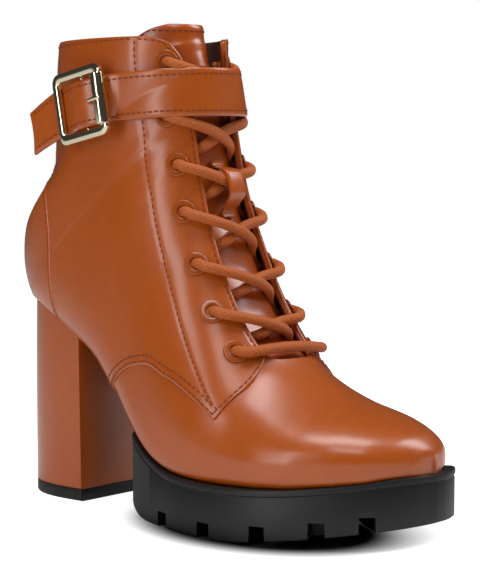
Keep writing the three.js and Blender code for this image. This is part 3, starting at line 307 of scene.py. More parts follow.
def section_tables():
    """The two tables as sizes: each section's lowest point, crown, sides and form."""
    base, crown, sides, form = [], [], [], []
    for x, x_top, spring, height, lateral, medial, crest, widest, top, bottom in FOOT_ROWS:
        sole = FOREFOOT_HEIGHT + spring * TOE_SPRING
        base.append((x * FOOT_LENGTH, sole, 0))
        crown.append((x_top * FOOT_LENGTH, sole + height * INSTEP_HEIGHT, 0))
        sides.append((lateral * BALL_WIDTH, medial * BALL_WIDTH, crest * BALL_WIDTH))
        form.append((widest, top, bottom))
    for x, rise, up, lean, climb, lateral, medial, crest, widest, top, bottom in ANKLE_ROWS:
        base.append((x * FOOT_LENGTH, FOREFOOT_HEIGHT + rise * HEEL_RISE + up * SHAFT_HEIGHT, 0))
        front = COLLAR_FRONT + lean * (THROAT_REACH - COLLAR_FRONT)
        crown.append((front, THROAT_HEIGHT + climb * (COLLAR_HEIGHT - THROAT_HEIGHT), 0))
        sides.append((lateral * SHAFT_WIDTH, medial * SHAFT_WIDTH, crest * SHAFT_WIDTH))
        form.append((widest, top, bottom))
    return [np.array(table, float) for table in (base, crown, sides, form)]


BASE, CROWN, SIDES, FORM = section_tables()
LAST_ROW = len(BASE) - 1.0


def curve(points, u):
    """A centripetal curve through the rows of a table, at section u."""
    u = np.clip(np.asarray(u, float), 0, LAST_ROW)
    i = np.clip(np.floor(u).astype(int), 0, len(points) - 2)
    w = (u - i)[..., None]
    ends = np.vstack([2 * points[0] - points[1], points, 2 * points[-1] - points[-2]])
    p0, p1, p2, p3 = ends[i], ends[i + 1], ends[i + 2], ends[i + 3]

    def step(a, b):
        return (((a - b) ** 2).sum(-1) ** 0.25)[..., None]

    d0, d1, d2 = step(p0, p1), step(p1, p2), step(p2, p3)
    d1 = np.where(d1 < 1e-4, 1, d1)
    d0 = np.where(d0 < 1e-4, d1, d0)
    d2 = np.where(d2 < 1e-4, d1, d2)
    t1 = ((p1 - p0) / d0 - (p2 - p0) / (d0 + d1) + (p2 - p1) / d1) * d1
    t2 = ((p2 - p1) / d1 - (p3 - p1) / (d1 + d2) + (p3 - p2) / d2) * d1
    square = -3 * p1 + 3 * p2 - 2 * t1 - t2
    cube = 2 * p1 - 2 * p2 + t1 + t2
    return p1 + t1 * w + square * w**2 + cube * w**3


def last_point(u, a):
    """Points of the last: a is the angle from the crest, and positive is medial."""
    u, a = np.broadcast_arrays(np.asarray(u, float), np.asarray(a, float))
    base, crown, sides, form = (curve(table, u) for table in (BASE, CROWN, SIDES, FORM))
    turn = np.abs(a)
    upper = turn <= np.pi / 2
    power = 2 / np.where(upper, form[..., 1], form[..., 2])
    across = np.abs(np.sin(turn)) ** power
    along = np.abs(np.cos(turn)) ** power
    widest = form[..., 0]
    height = np.where(upper, widest + (1 - widest) * along, widest * (1 - along))
    middle = np.where(upper, sides[..., 2], (sides[..., 0] + sides[..., 1]) / 2)
    side = np.where(a < 0, sides[..., 0], sides[..., 1])
    x = base[..., 0] + (crown[..., 0] - base[..., 0]) * height
    z = base[..., 1] + (crown[..., 1] - base[..., 1]) * height
    return np.stack([x, middle + (side - middle) * across, z], -1)


def unit(v):
    """Vectors made one long."""
    return v / np.maximum(np.linalg.norm(v, axis=-1, keepdims=True), 1e-9)


def last_normal(u, a):
    """The way out of the last, from a small step along it and a small turn round it."""
    step, turn, off_the_tip = 0.02, 0.012, 0.03
    u, a = np.broadcast_arrays(np.asarray(u, float), np.asarray(a, float))
    along = last_point(np.minimum(u + step, LAST_ROW), a) - last_point(np.maximum(u - step, step), a)
    safe = np.maximum(u, off_the_tip)
    ahead = np.where(a + turn > np.pi, a + turn - 2 * np.pi, a + turn)
    behind = np.where(a - turn < -np.pi, a - turn + 2 * np.pi, a - turn)
    around = last_point(safe, ahead) - last_point(safe, behind)
    found = unit(np.cross(around, along))
    return np.where((u < step)[..., None], np.array([1.0, 0, 0]), found)


def angle_samples():
    """Angles from the crest to under the foot, closest at the side and underneath."""
    top = np.linspace(0, np.pi / 2, 60)
    s = np.linspace(0, 1, 121)[1:]
    eased = np.where(s < 0.5, 4 * s**3, 1 - 4 * (1 - s) ** 3)
    return np.concatenate([top, np.pi / 2 + np.pi / 2 * eased])


ANGLES = angle_samples()


def girths(u, side):
    """How far along the section each of ANGLES lies from the crest, for many sections."""
    points = last_point(np.asarray(u, float)[:, None], side * ANGLES[None, :])
    steps = np.linalg.norm(np.diff(points, axis=1), axis=-1)
    return np.concatenate([np.zeros((len(points), 1)), np.cumsum(steps, axis=1)], axis=1)


def angle_at(u, g):
    """The angles of girths g, signed, at sections u: arrays of one length."""
    u, g = (np.asarray(v, float).ravel() for v in np.broadcast_arrays(u, g))
    found = np.zeros(len(u))
    for side in (-1, 1):
        chosen = np.nonzero((g < 0) == (side < 0))[0]
        if len(chosen) == 0:
            continue
        places, back = np.unique(u[chosen], return_inverse=True)
        tables = girths(places, side)
        for k in range(len(places)):
            mine = chosen[back.ravel() == k]
            found[mine] = side * np.interp(np.abs(g[mine]), tables[k], ANGLES)
    return found


def skin(u, g, lift):
    """Points at section u and girth g, lifted off the last."""
    shape = np.broadcast_shapes(np.shape(u), np.shape(g), np.shape(lift))
    flat_u = np.broadcast_to(u, shape).ravel().astype(float)
    angles = angle_at(flat_u, np.broadcast_to(g, shape).ravel())
    lifts = np.broadcast_to(lift, shape).ravel()[:, None]
    points = last_point(flat_u, angles) + last_normal(flat_u, angles) * lifts
    return points.reshape(*shape, 3)


def end_girth(u, side):
    """The girth where the upper's edge lies: under the foot inside its margin, or the back's middle."""
    u = np.asarray(u, float)
    total = girths(u, side)[:, -1]
    sides = curve(SIDES, u)
    half = (sides[:, 1] - sides[:, 0]) / 2
    lasted = (u > MARGIN_FROM) & (u < MARGIN_TO)
    inside = np.where(lasted, np.maximum(half - LASTING_MARGIN, 0), 0)
    return total - inside


def throat_half(u, side):
    """The girth from the crest to the throat's edge, or nothing before the throat."""
    u = np.asarray(u, float)
    return np.where(u < THROAT_START, 0, THROAT_GAP * read(THROAT_ROWS, 1 if side < 0 else 2, u))


def section_at_height(g, lift, height):
    """The sections at which the surface, at girth g and lifted off the last, has given heights."""
    g, lift, height = np.broadcast_arrays(*(np.asarray(v, float) for v in (g, lift, height)))
    low, high = np.full(g.shape, LACED_FROM), np.full(g.shape, LACED_TO)
    for _ in range(16):
        u = (low + high) / 2
        below = skin(u, g, lift)[..., 2] < height
        low = np.where(below, u, low)
        high = np.where(below, high, u)
    return low


# Making meshes from points.
def to_world(points):
    """Points of the drawing as points of the scene."""
    return (np.asarray(points, float) + SHIFT) * MM


def finish_piece(piece, material, smooth_angle=None):
    """Gives a piece its materials and smooth faces, on the root body."""
    materials = material if isinstance(material, (list, tuple)) else [material]
    for entry in materials:
        piece.data.materials.append(entry)
    bpy.ops.object.select_all(action="DESELECT")
    piece.select_set(True)
    bpy.context.view_layer.objects.active = piece
    if smooth_angle is None:
        bpy.ops.object.shade_smooth()
    else:
        bpy.ops.object.shade_smooth_by_angle(angle=math.radians(smooth_angle))
    piece.select_set(False)
    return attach(piece, "root")


def mesh_piece(name, points, faces, material, smooth_angle=None, uvs=None, face_slots=None):
    """A piece from points in the drawing's millimetres and its faces."""
    mesh = bpy.data.meshes.new(name)
    mesh.from_pydata([tuple(p) for p in to_world(points)], [], [tuple(int(i) for i in f) for f in faces])
    if uvs is not None:
        layer = mesh.uv_layers.new(name="UVMap")
        order = np.zeros(len(mesh.loops), int)
        mesh.loops.foreach_get("vertex_index", order)
        layer.data.foreach_set("uv", np.asarray(uvs, float)[order].ravel())
    if face_slots is not None:
        mesh.polygons.foreach_set("material_index", np.asarray(face_slots, int))
    mesh.update()
    piece = bpy.data.objects.new(name, mesh)
    bpy.context.scene.collection.objects.link(piece)
    return finish_piece(piece, material, smooth_angle)


def grid_faces(rows, columns, start=0, flip=False, closed=False):
    """The quads of a grid of points, closed round its columns if asked."""
    i, j = np.meshgrid(np.arange(rows - 1), np.arange(columns if closed else columns - 1), indexing="ij")
    a = i * columns + j
    b = i * columns + (j + 1) % columns
    quads = np.stack([a, b, b + columns, a + columns], -1).reshape(-1, 4) + start
    return quads[:, ::-1] if flip else quads


def slab(outer, inner, flip=False):
    """Points and faces of a sheet with two faces and its four edges closed."""
    rows, columns = outer.shape[:2]
    count = rows * columns
    points = np.concatenate([outer.reshape(-1, 3), inner.reshape(-1, 3)])
    faces = [grid_faces(rows, columns, 0, flip), grid_faces(rows, columns, count, not flip)]
    top = np.arange(columns)
    bottom = (rows - 1) * columns + top
    left = np.arange(rows) * columns
    right = left + columns - 1
    for edge, turned in ((top, True), (bottom, False), (left, False), (right, True)):
        quads = np.stack([edge[:-1], edge[1:], edge[1:] + count, edge[:-1] + count], -1)
        faces.append(quads[:, ::-1] if turned == flip else quads)
    return points, np.concatenate(faces)


def weld(piece, distance=0.02):
    """Joins doubled points and turns the faces outward."""
    shell = bmesh.new()
    shell.from_mesh(piece.data)
    bmesh.ops.remove_doubles(shell, verts=shell.verts, dist=distance * MM)
    bmesh.ops.recalc_face_normals(shell, faces=shell.faces)
    shell.to_mesh(piece.data)
    shell.free()
    piece.data.update()
    return piece


def use_modifier(piece, kind, **settings):
    """Adds a modifier with its settings and applies it."""
    bpy.ops.object.select_all(action="DESELECT")
    piece.select_set(True)
    bpy.context.view_layer.objects.active = piece
    made = piece.modifiers.new(kind.title(), kind)
    for name, value in settings.items():
        setattr(made, name, value)
    bpy.ops.object.modifier_apply(modifier=made.name)
    piece.select_set(False)


def spread(lower, upper, count, fine=()):
    """Shares from one edge to the other, with extra columns close to each edge in millimetres."""
    width = np.maximum(upper - lower, 0.5)[:, None]
    edge = np.array(fine, float)[None, :] / width
    edge = np.minimum(edge, 0.45)
    inner = np.linspace(0, 1, count)[None, :] * (1 - 2 * edge[:, -1:]) + edge[:, -1:]
    shares = np.concatenate([edge[:, :-1], inner, 1 - edge[:, :-1][:, ::-1]], axis=1)
    return lower[:, None] + (upper - lower)[:, None] * shares


# Materials.
def linear(text):
    """An sRGB hex value as a linear colour."""
    values = [int(text[i : i + 2], 16) / 255 for i in (1, 3, 5)]
    return [v / 12.92 if v <= 0.04045 else ((v + 0.055) / 1.055) ** 2.4 for v in values] + [1.0]


def node(tree, kind, inputs=None, **settings):
    """Adds a node with its settings, and links or sets its inputs."""
    made = tree.nodes.new(kind)
    for name, value in settings.items():
        setattr(made, name, value)
    for name, value in (inputs or {}).items():
        if isinstance(value, bpy.types.NodeSocket):
            tree.links.new(value, made.inputs[name])
        else:
            made.inputs[name].default_value = value
    return made


def blank_material(name):
    """A new material with an empty tree."""
    made = bpy.data.materials.new(name)
    made.use_nodes = True
    made.node_tree.nodes.clear()
    return made, made.node_tree


def output(tree, shader):
    """Joins the shader to the material's output."""
    node(tree, "ShaderNodeOutputMaterial", {"Surface": shader.outputs[0]})


def leather_material(name, base, deep, roughness, coat, grain_mm, grain_height):
    """Leather: two close tans in clouds and spots, pores with folds between them, and a finish coat."""
    cloud_mm, spot_mm, fold_pores = 45.45, 4.167, 2.381
    made, tree = blank_material(name)
    place = node(tree, "ShaderNodeTexCoord").outputs["Object"]
    cloud = node(tree, "ShaderNodeTexNoise", {"Vector": place, "Scale": METRE / cloud_mm, "Detail": 3.0})
    mottle = node(tree, "ShaderNodeTexNoise", {"Vector": place, "Scale": METRE / spot_mm, "Detail": 4.0})
    blend = node(
        tree, "ShaderNodeMath", {0: cloud.outputs["Fac"], 1: mottle.outputs["Fac"]}, operation="MULTIPLY",
    )
    share = node(
        tree, "ShaderNodeMapRange",
        {"Value": blend.outputs[0], "From Min": 0.05, "From Max": 0.45, "To Min": 0.0, "To Max": 1.0},
    )
    tint = node(
        tree, "ShaderNodeMix", {"Factor": share.outputs[0], 6: linear(deep), 7: linear(base)},
        data_type="RGBA",
    )
    pores = node(tree, "ShaderNodeTexVoronoi", {"Vector": place, "Scale": METRE / grain_mm}, feature="F1")
    folds = node(
        tree, "ShaderNodeTexNoise",
        {"Vector": place, "Scale": METRE / (fold_pores * grain_mm), "Detail": 4.0},
    )
    relief = node(
        tree, "ShaderNodeMath", {0: pores.outputs["Distance"], 1: folds.outputs["Fac"]}, operation="ADD",
    )
    bump = node(
        tree, "ShaderNodeBump",
        {"Height": relief.outputs[0], "Distance": grain_height * MM, "Strength": 1.0},
    )
    rough = node(
        tree, "ShaderNodeMapRange",
        {"Value": mottle.outputs["Fac"], "From Min": 0.3, "From Max": 0.7, "To Min": roughness - 0.04,
         "To Max": roughness + 0.05},
    )
    shader = node(
        tree, "ShaderNodeBsdfPrincipled",
        {"Base Color": tint.outputs[2], "Roughness": rough.outputs[0], "Normal": bump.outputs[0],
         "IOR": 1.45, "Specular IOR Level": 0.25, "Coat Weight": coat, "Coat Roughness": 0.27},
    )
    output(tree, shader)
    return made


def plain_material(name, base, roughness, bump_mm, height, metallic=0.0, coat=0.0, vary=0.05):
    """One colour with a fine relief, whose shine varies a little with it."""
    made, tree = blank_material(name)
    place = node(tree, "ShaderNodeTexCoord").outputs["Object"]
    noise = node(tree, "ShaderNodeTexNoise", {"Vector": place, "Scale": METRE / bump_mm, "Detail": 4.0})
    bump = node(
        tree, "ShaderNodeBump", {"Height": noise.outputs["Fac"], "Distance": height * MM, "Strength": 1.0},
    )
    rough = node(
        tree, "ShaderNodeMapRange",
        {"Value": noise.outputs["Fac"], "From Min": 0.3, "From Max": 0.7,
         "To Min": max(0.02, roughness - vary), "To Max": roughness + vary},
    )
    shader = node(
        tree, "ShaderNodeBsdfPrincipled",
        {"Base Color": linear(base), "Roughness": rough.outputs[0], "Normal": bump.outputs[0],
         "Metallic": metallic, "Coat Weight": coat},
    )
    output(tree, shader)
    return made


def lace_material():
    """Braided polyester cord: fine slanting plaits that catch the light softly, and painted shade in their
    grooves.

    The wave texture draws 20 / (2 pi) bands to each unit of its vector, here the cord's millimetres.
    """
    slant, plait_mm, plait_height = 0.9, 1.309, 0.22
    scale = 2 * math.pi / (20 * plait_mm)
    made, tree = blank_material("braided_polyester_cord")
    place = node(tree, "ShaderNodeTexCoord").outputs["UV"]
    waves = []
    for turn in (slant, -slant):
        moved = node(tree, "ShaderNodeMapping", {"Vector": place, "Rotation": (0, 0, turn)})
        wave = node(
            tree, "ShaderNodeTexWave",
            {"Vector": moved.outputs[0], "Scale": scale, "Distortion": 0.4},
            wave_type="BANDS",
        )
        waves.append(wave.outputs["Fac"])
    plait = node(tree, "ShaderNodeMath", {0: waves[0], 1: waves[1]}, operation="MAXIMUM")
    bump = node(
        tree, "ShaderNodeBump", {"Height": plait.outputs[0], "Distance": plait_height * MM, "Strength": 1.0},
    )
    # Painted shade: the cord darker in the grooves between plaits and lighter on their crests.
    tint = node(
        tree, "ShaderNodeMix", {"Factor": plait.outputs[0], 6: linear("#A8500F"), 7: linear("#BC5C12")},
        data_type="RGBA",
    )
    shader = node(
        tree, "ShaderNodeBsdfPrincipled",
        {"Base Color": tint.outputs[2], "Roughness": 0.62, "Normal": bump.outputs[0], "Sheen Weight": 0.05},
    )
    output(tree, shader)
    return made


# The upper: its wall with the vamp, the quarters lapped over it, and the counter at the heel.
def vamp_and_lining(leather, lining):
    """The upper's wall, leather outside and lining inside, with its toe closed and its rim at the throat."""
    rows = np.concatenate([
        [0.0, 0.04, 0.1, 0.18], np.arange(0.3, 7.0, 0.14),
        [7.0, 7.06, 7.1, 7.14, 7.2, 7.28, 7.36, 7.45, 7.55], np.arange(7.7, 25.6, 0.19),
        [25.7, 25.85, 25.95],
    ])
    inner_rows = np.maximum(rows, 1.3)
    open_rows = np.nonzero(rows >= 7.06)[0]
    points, faces, slots = [], [], []
    for side in (-1, 1):
        outer = wall_sheet(rows, side, 0.0)
        inner = wall_sheet(inner_rows, side, -WALL)
        columns = outer.shape[1]
        start = sum(len(p) for p in points)
        count = len(rows) * columns
        points += [outer.reshape(-1, 3), inner.reshape(-1, 3)]
        rim = [(start + i * columns, start + (i + 1) * columns, start + count + (i + 1) * columns,
                start + count + i * columns) for i in open_rows[:-1]]
        last = start + (len(rows) - 1) * columns
        rim += [(last + j, last + j + 1, last + count + j + 1, last + count + j) for j in range(columns - 1)]
        skins = [grid_faces(len(rows), columns, start, side < 0),
                 grid_faces(len(rows), columns, start + count, side > 0)]
        faces += [tuple(f) for f in skins[0]] + [tuple(f) for f in skins[1]] + rim
        slots += [0] * len(skins[0]) + [1] * len(skins[1]) + [0] * len(rim)
    points = np.concatenate(points)
    ring = np.concatenate([np.arange(columns), 2 * count + np.arange(columns)[::-1]])
    points, cap = toe_cap(points, ring)
    piece = mesh_piece("vamp_and_lining", points, faces + cap, [leather, lining], None, None,
                       slots + [0] * len(cap))
    return weld(piece)


def wall_sheet(rows, side, lift):
    """One side of the wall's face, from the throat's edge down to the lasting edge."""
    edge = throat_half(rows, side) + np.where(rows > 8.2, 0.35, 0)
    return skin(rows[:, None], side * spread(edge, end_girth(rows, side), 74, (0.0, 0.4, 0.9)), lift)


def toe_cap(points, ring):
    """Closes the tip of the toe with shrinking rings that bulge a little."""
    edge = points[ring]
    centre = edge.mean(0)
    faces = []
    lower = ring
    size = len(ring)
    for share in (0.9, 0.76, 0.6, 0.44, 0.28, 0.14, 0.0):
        shrunk = centre + (edge - centre) * share
        shrunk[:, 0] += 1.3 * (1 - share**2)
        upper = len(points) + np.arange(size)
        points = np.concatenate([points, shrunk])
        faces += [(lower[j], lower[(j + 1) % size], upper[(j + 1) % size], upper[j]) for j in range(size)]
        lower = upper
    return points, faces


def edge_roll(distance, reach=0.9, drop=0.55):
    """How much a cut edge of leather falls away towards its rim."""
    near = np.clip(1 - distance / reach, 0, 1)
    return drop * near**2


def quarter(side, name, leather):
    """A quarter with its eyestay, lapped over the vamp, from its front tip to the collar."""
    rows = np.concatenate([
        np.arange(QUARTER_TIP, 7.52, 0.02), np.arange(7.55, 8.4, 0.05), np.arange(8.45, 25.6, 0.09),
        [25.65, 25.75, 25.85, 25.92, 25.97, 26.0],
    ])
    lower = np.maximum(read(QUARTER_ROWS, 1, rows) * BALL_WIDTH, throat_half(rows, side))
    seam = read(QUARTER_ROWS, 2, rows) * BALL_WIDTH
    under = end_girth(rows, side)
    upper = np.where(rows < 11.98, np.minimum(seam, under), under)
    g = spread(lower, upper, 84, (0.0, 0.2, 0.5, 0.9))
    to_edge = g - lower[:, None]
    to_seam = np.where((rows < 12.0)[:, None], upper[:, None] - g, 9)
    to_top = (COLLAR - rows[:, None]) * COLLAR_STEP + 0 * g
    to_tip = (rows[:, None] - QUARTER_TIP) * TIP_STEP + 0 * g
    near = np.minimum(np.minimum(to_edge, to_seam), np.minimum(to_top, to_tip))
    lift = LEATHER - edge_roll(near)
    lift = lift + hollows(rows[:, None] + 0 * g, g, side)
    outer = skin(rows[:, None], side * g, lift)
    inner = skin(rows[:, None], side * g, -0.15)
    points, faces = slab(outer, inner, flip=side > 0)
    return mesh_piece(name, points, faces, leather, 50)


def hollows(u, g, side):
    """The shallow hollows that the stitches behind the eyelets and along the throat pull in."""
    seam = np.interp(u, [r[0] for r in reversed(EYESTAY_SEAM)], [r[1] for r in reversed(EYESTAY_SEAM)])
    edge = throat_half(u.ravel(), side).reshape(u.shape) + THROAT_STITCH_INSET
    hollow = np.zeros_like(u)
    for line, depth, width, start in ((seam, 0.28, 0.9, 7.7), (edge, 0.2, 0.8, 7.9)):
        hollow = hollow - depth * np.exp(-(((g - line) / width) ** 2)) * (u > start)
    return hollow


def counter_girths(rows, side):
    """Where each section crosses the counter's seam, as a girth."""
    found = []
    table = girths(rows, side)
    points = last_point(rows[:, None], side * ANGLES[None, :])
    ups = np.array([r[0] for r in COUNTER_SEAM]) * SHAFT_HEIGHT + SEAT_HEIGHT
    backs = np.array([r[1] for r in COUNTER_SEAM]) * FOOT_LENGTH
    for k in range(len(rows)):
        reach = points[k, :, 0] - np.interp(points[k, :, 2], ups, backs)
        inside = np.nonzero((reach < 0) & (ANGLES > 0.8))[0]
        if len(inside) == 0:
            found.append(table[k, -1])
            continue
        j = inside[0]
        t = reach[j - 1] / (reach[j - 1] - reach[j])
        found.append(table[k, j - 1] + t * (table[k, j] - table[k, j - 1]))
    return np.array(found)


def counter(leather):
    """The counter at the heel, lapped over both quarters, which meets itself down the back."""
    rows = np.concatenate([np.arange(13.3, 22.8, 0.1), np.arange(22.84, COUNTER_TOP, 0.04)])
    halves = []
    for side in (-1, 1):
        seam = counter_girths(rows, side)
        end = end_girth(rows, side)
        seam = np.minimum(seam, end - 0.3)
        g = spread(seam, end, 60, (0.0, 0.2, 0.5, 0.9))[:, :-3]
        g[:, -1] = end
        near = np.minimum(g - seam[:, None], (COUNTER_TOP - rows[:, None]) * COUNTER_STEP + 0 * g)
        outer = skin(rows[:, None], side * g, COUNTER_LIFT - edge_roll(near, 1.4, 0.62))
        inner = skin(rows[:, None], side * g, LEATHER - 0.1)
        halves.append(slab(outer, inner, flip=side > 0))
    points = np.concatenate([halves[0][0], halves[1][0]])
    faces = np.concatenate([halves[0][1], halves[1][1] + len(halves[0][0])])
    return mesh_piece("counter", points, faces, leather, 50)


# The rows of stitches, which sit on the panel under them.
def surface_of(*pieces):
    """A search tree of the pieces' faces, which stitches are laid on."""
    points, faces = [], []
    for piece in pieces:
        start = len(points)
        points.extend(v.co.copy() for v in piece.data.vertices)
        faces.extend([start + i for i in p.vertices] for p in piece.data.polygons)
    return BVHTree.FromPolygons(points, faces)


def path_on_skin(marks, side, lift=LEATHER, count=300):
    """A smooth path through marks of section and girth, as points of the drawing."""
    marks = np.array(marks, float)
    steps = np.linalg.norm(np.diff(skin(marks[:, 0], side * marks[:, 1], lift), axis=0), axis=1)
    at = np.concatenate([[0], np.cumsum(steps)])
    dense = np.linspace(0, at[-1], count)
    columns = np.column_stack([at, marks])
    u = read(columns, 1, dense)
    g = read(columns, 2, dense)
    return skin(u, side * g, lift)


def beside(path, normals, distance):
    """A path moved sideways along the leather."""
    along = unit(np.gradient(path, axis=0))
    return path + unit(np.cross(normals, along)) * distance


def resample(path, pitch):
    """Points in equal steps along a path, half a step in from each end."""
    steps = np.linalg.norm(np.diff(path, axis=0), axis=1)
    at = np.concatenate([[0], np.cumsum(steps)])
    count = max(2, int(at[-1] / pitch))
    places = (np.arange(count) + 0.5) * at[-1] / count
    return np.stack([np.interp(places, at, path[:, k]) for k in range(3)], -1)


def capsule(sides=6):
    """A stitch: a thread that rises from its holes and lies on the leather between them."""
    rings = [(-0.5, 0.35), (-0.44, 0.8), (-0.22, 1.0), (0.22, 1.0), (0.44, 0.8), (0.5, 0.35)]
    points = [(x, r * math.cos(t), r * math.sin(t)) for x, r in rings
              for t in (2 * math.pi * k / sides for k in range(sides))]
    faces = [tuple(f) for f in grid_faces(len(rings), sides, 0, False, True)]
    faces += [tuple(range(sides))[::-1], tuple(range((len(rings) - 1) * sides, len(rings) * sides))]
    return np.array(points), faces


def sew(name, paths, ground, thread, pitch=STITCH_PITCH, width=STITCH_WIDTH):
    """Rows of stitches along paths, each on the panel nearest to it, a little sunk and arched."""
    sink, rise, flatness = 0.12, 0.18, 0.8
    form, form_faces = capsule()
    points, faces = [], []
    for path in paths:
        centres = resample(np.asarray(path), pitch)
        along = unit(np.gradient(centres, axis=0))
        for centre, way in zip(centres, along):
            spot, normal, _, _ = ground.find_nearest(Vector(to_world(centre)))
            if spot is None:
                continue
            place = np.array(spot) / MM - SHIFT
            out = np.array(normal)
            if np.dot(out, centre - place) < -0.2:
                out = -out
            way = unit(way - out * np.dot(way, out))
            across = np.cross(out, way)
            bent = form.copy()
            arch = rise * (1 - (bent[:, 0] * 2) ** 2)
            made = (place + np.outer(bent[:, 0] * STITCH_LENGTH, way)
                    + np.outer(bent[:, 1] * width / 2, across)
                    + np.outer(bent[:, 2] * width / 2 * flatness + arch - sink, out))
            start = len(points) * len(form)
            points.append(made)
            faces.extend([tuple(start + i for i in f) for f in form_faces])
    return mesh_piece(name, np.concatenate(points), faces, thread)


def seam_normals(marks, side, count=300):
    """The way out of the leather along a seam."""
    near = path_on_skin(marks, side, LEATHER, count)
    far = path_on_skin(marks, side, LEATHER + 1, count)
    return unit(far - near)


def upper_stitches(side, word, ground, thread):
    """The rows along the throat, behind the eyelets, in the quarter's seam and front, and at the collar."""
    rows = np.arange(8.0, 25.7, 0.25)
    throat = [(u, float(throat_half(u, side)) + THROAT_STITCH_INSET) for u in rows]
    throat += [(COLLAR_STITCHES, 38.0 if side < 0 else 27.0)]
    seam_rows = (12.0, 11.9, 11.72, 11.5, 11.2, 10.8, 10.2, 9.5, 8.8, 8.4, 8.0, 7.7, 7.5)
    seam = [(u, float(read(QUARTER_ROWS, 2, u)) * BALL_WIDTH) for u in seam_rows]
    front = [(7.5, 56.0), (7.35, 47.8), (7.22, 39.6), (7.16, 32.0), (7.22, 24.8), (7.35, 19.8), (7.55, 17.4),
             (8.0, 17.2)]
    paths = [path_on_skin(throat, side), path_on_skin(EYESTAY_SEAM, side)]
    for marks, gaps in ((seam, (1.5, 4.3)), (front, (1.6,))):
        path = path_on_skin(marks, side)
        normals = seam_normals(marks, side)
        for gap in gaps:
            paths.append(beside(path, normals, -gap * side)[6:-4])
    back = float(end_girth([COLLAR_STITCHES], side)[0]) - 0.5
    collar_marks = [(COLLAR_STITCHES, g) for g in np.linspace(41, back, 40)]
    paths.append(path_on_skin(collar_marks, side))
    return sew("stitches_" + word, paths, ground, thread)


def counter_stitches(ground, thread):
    """The row inside the counter's seam, on each side."""
    rows = np.concatenate([np.arange(14.3, 22.8, 0.3), np.arange(22.85, 23.4, 0.06)])
    paths = []
    for side in (-1, 1):
        seam = counter_girths(rows, side) + 1.6
        end = end_girth(rows, side)
        marks = [(u, min(g, e)) for u, g, e in zip(rows, seam, end)]
        paths.append(path_on_skin(marks, side, COUNTER_LIFT))
    return sew("stitches_counter", paths, ground, thread, width=0.6)


# The tongue and its keeper.
def tongue_face(u):
    """The lift of the tongue's outer face, which lies inside the last's surface."""
    return -WALL - 0.3 - read(TONGUE_ROWS, 3, u) * (TONGUE_RECESS - WALL - 0.3)


def tongue(leather):
    """The padded tongue, from under the vamp to above the collar, with its edges rolled off."""
    rows = np.concatenate([
        np.arange(6.45, 26.1, 0.14), TONGUE_TOP - np.array([0.24, 0.18, 0.13, 0.09, 0.05, 0.02, 0]),
    ])
    lateral = TONGUE_WIDTH / 2 * read(TONGUE_ROWS, 1, rows)
    medial = TONGUE_WIDTH / 2 * read(TONGUE_ROWS, 2, rows)
    g = spread(-lateral, medial, 44, (0.0, 0.3, 0.7, 1.2))
    u = rows[:, None] + 0 * g
    near = np.minimum(np.minimum(g + lateral[:, None], medial[:, None] - g), (TONGUE_TOP - u) * TONGUE_STEP)
    face = tongue_face(rows)[:, None] - edge_roll(near, 1.4, 0.7)
    face = face + tongue_padding(u, g)
    outer = skin(u, g, face)
    inner = skin(u, g, tongue_face(rows)[:, None] - TONGUE_THICKNESS - 0.6 + edge_roll(near, 1.4, 0.7))
    points, faces = slab(outer, inner)
    return weld(mesh_piece("padded_tongue", points, faces, leather, 60))


def tongue_padding(u, g):
    """Padding that swells between the lace's crossings, where the cord doesn't press it down."""
    swell = np.exp(-((g / 13.0) ** 2))
    press = np.zeros_like(u)
    marks = [0.5 * (above[0] + below[0]) for above, below in zip(EYELET_ROWS, EYELET_ROWS[1:])]
    for mark in marks:
        press = press + np.exp(-(((u - mark) / 0.45) ** 2))
    laced = np.clip((u - 7.9) / 0.8, 0, 1) * np.clip((24 - u) / 3, 0, 1)
    return swell * (0.9 - 1.3 * np.clip(press, 0, 1)) * laced


def keeper(leather):
    """The loop on the tongue that arches over the lace."""
    rows = KEEPER_START + np.linspace(0, 1.9, 50)
    bottom = tongue_face(rows) + 0.3 + read(KEEPER_ROWS, 1, rows - KEEPER_START) * (1.75 * LACE + 1)
    half = np.full(len(rows), KEEPER_WIDTH / 2)
    g = spread(-half, half, 12, (0.0, 0.15, 0.35, 0.6))
    near = half[:, None] - np.abs(g)
    outer = skin(rows[:, None], g, bottom[:, None] + 1.4 - edge_roll(near, 0.7, 0.5))
    inner = skin(rows[:, None], g, bottom[:, None])
    points, faces = slab(outer, inner)
    return mesh_piece("tongue_keeper_loop", points, faces, leather, 50)


def tongue_stitches(ground, thread):
    """The row that runs inside the tongue's edge and round its top."""
    rows = np.concatenate([np.arange(20.0, 26.0, 0.3), [26.05, 26.15, 26.22]])
    lateral = TONGUE_WIDTH / 2 * read(TONGUE_ROWS, 1, rows) - EDGE_STITCH_INSET
    medial = TONGUE_WIDTH / 2 * read(TONGUE_ROWS, 2, rows) - EDGE_STITCH_INSET
    top = TONGUE_TOP - EDGE_STITCH_INSET / TONGUE_STEP
    marks = [(min(u, top), -g) for u, g in zip(rows, lateral)]
    marks += [(top, g) for g in np.linspace(-18, 20, 9)]
    marks += [(min(u, top), g) for u, g in zip(rows[::-1], medial[::-1])]
    marks = np.array(marks)
    path = skin(marks[:, 0], marks[:, 1], tongue_face(marks[:, 0]) + 0.4)
    return sew("stitches_tongue", [path], ground, thread)


# Eyelets and the lace that runs through them.
def seat(u, g, lift):
    """A frame on the upper: across, up and out of it, and its middle."""
    angle = angle_at([u], [g])[0]
    out = last_normal(np.array([u]), np.array([angle]))[0]
    up = unit(last_point(u + 0.05, angle) - last_point(u - 0.05, angle))
    side = unit(np.cross(up, out))
    rise = np.cross(out, side)
    middle = skin(np.array([u]), np.array([g]), lift)[0]
    return side, rise, out, middle


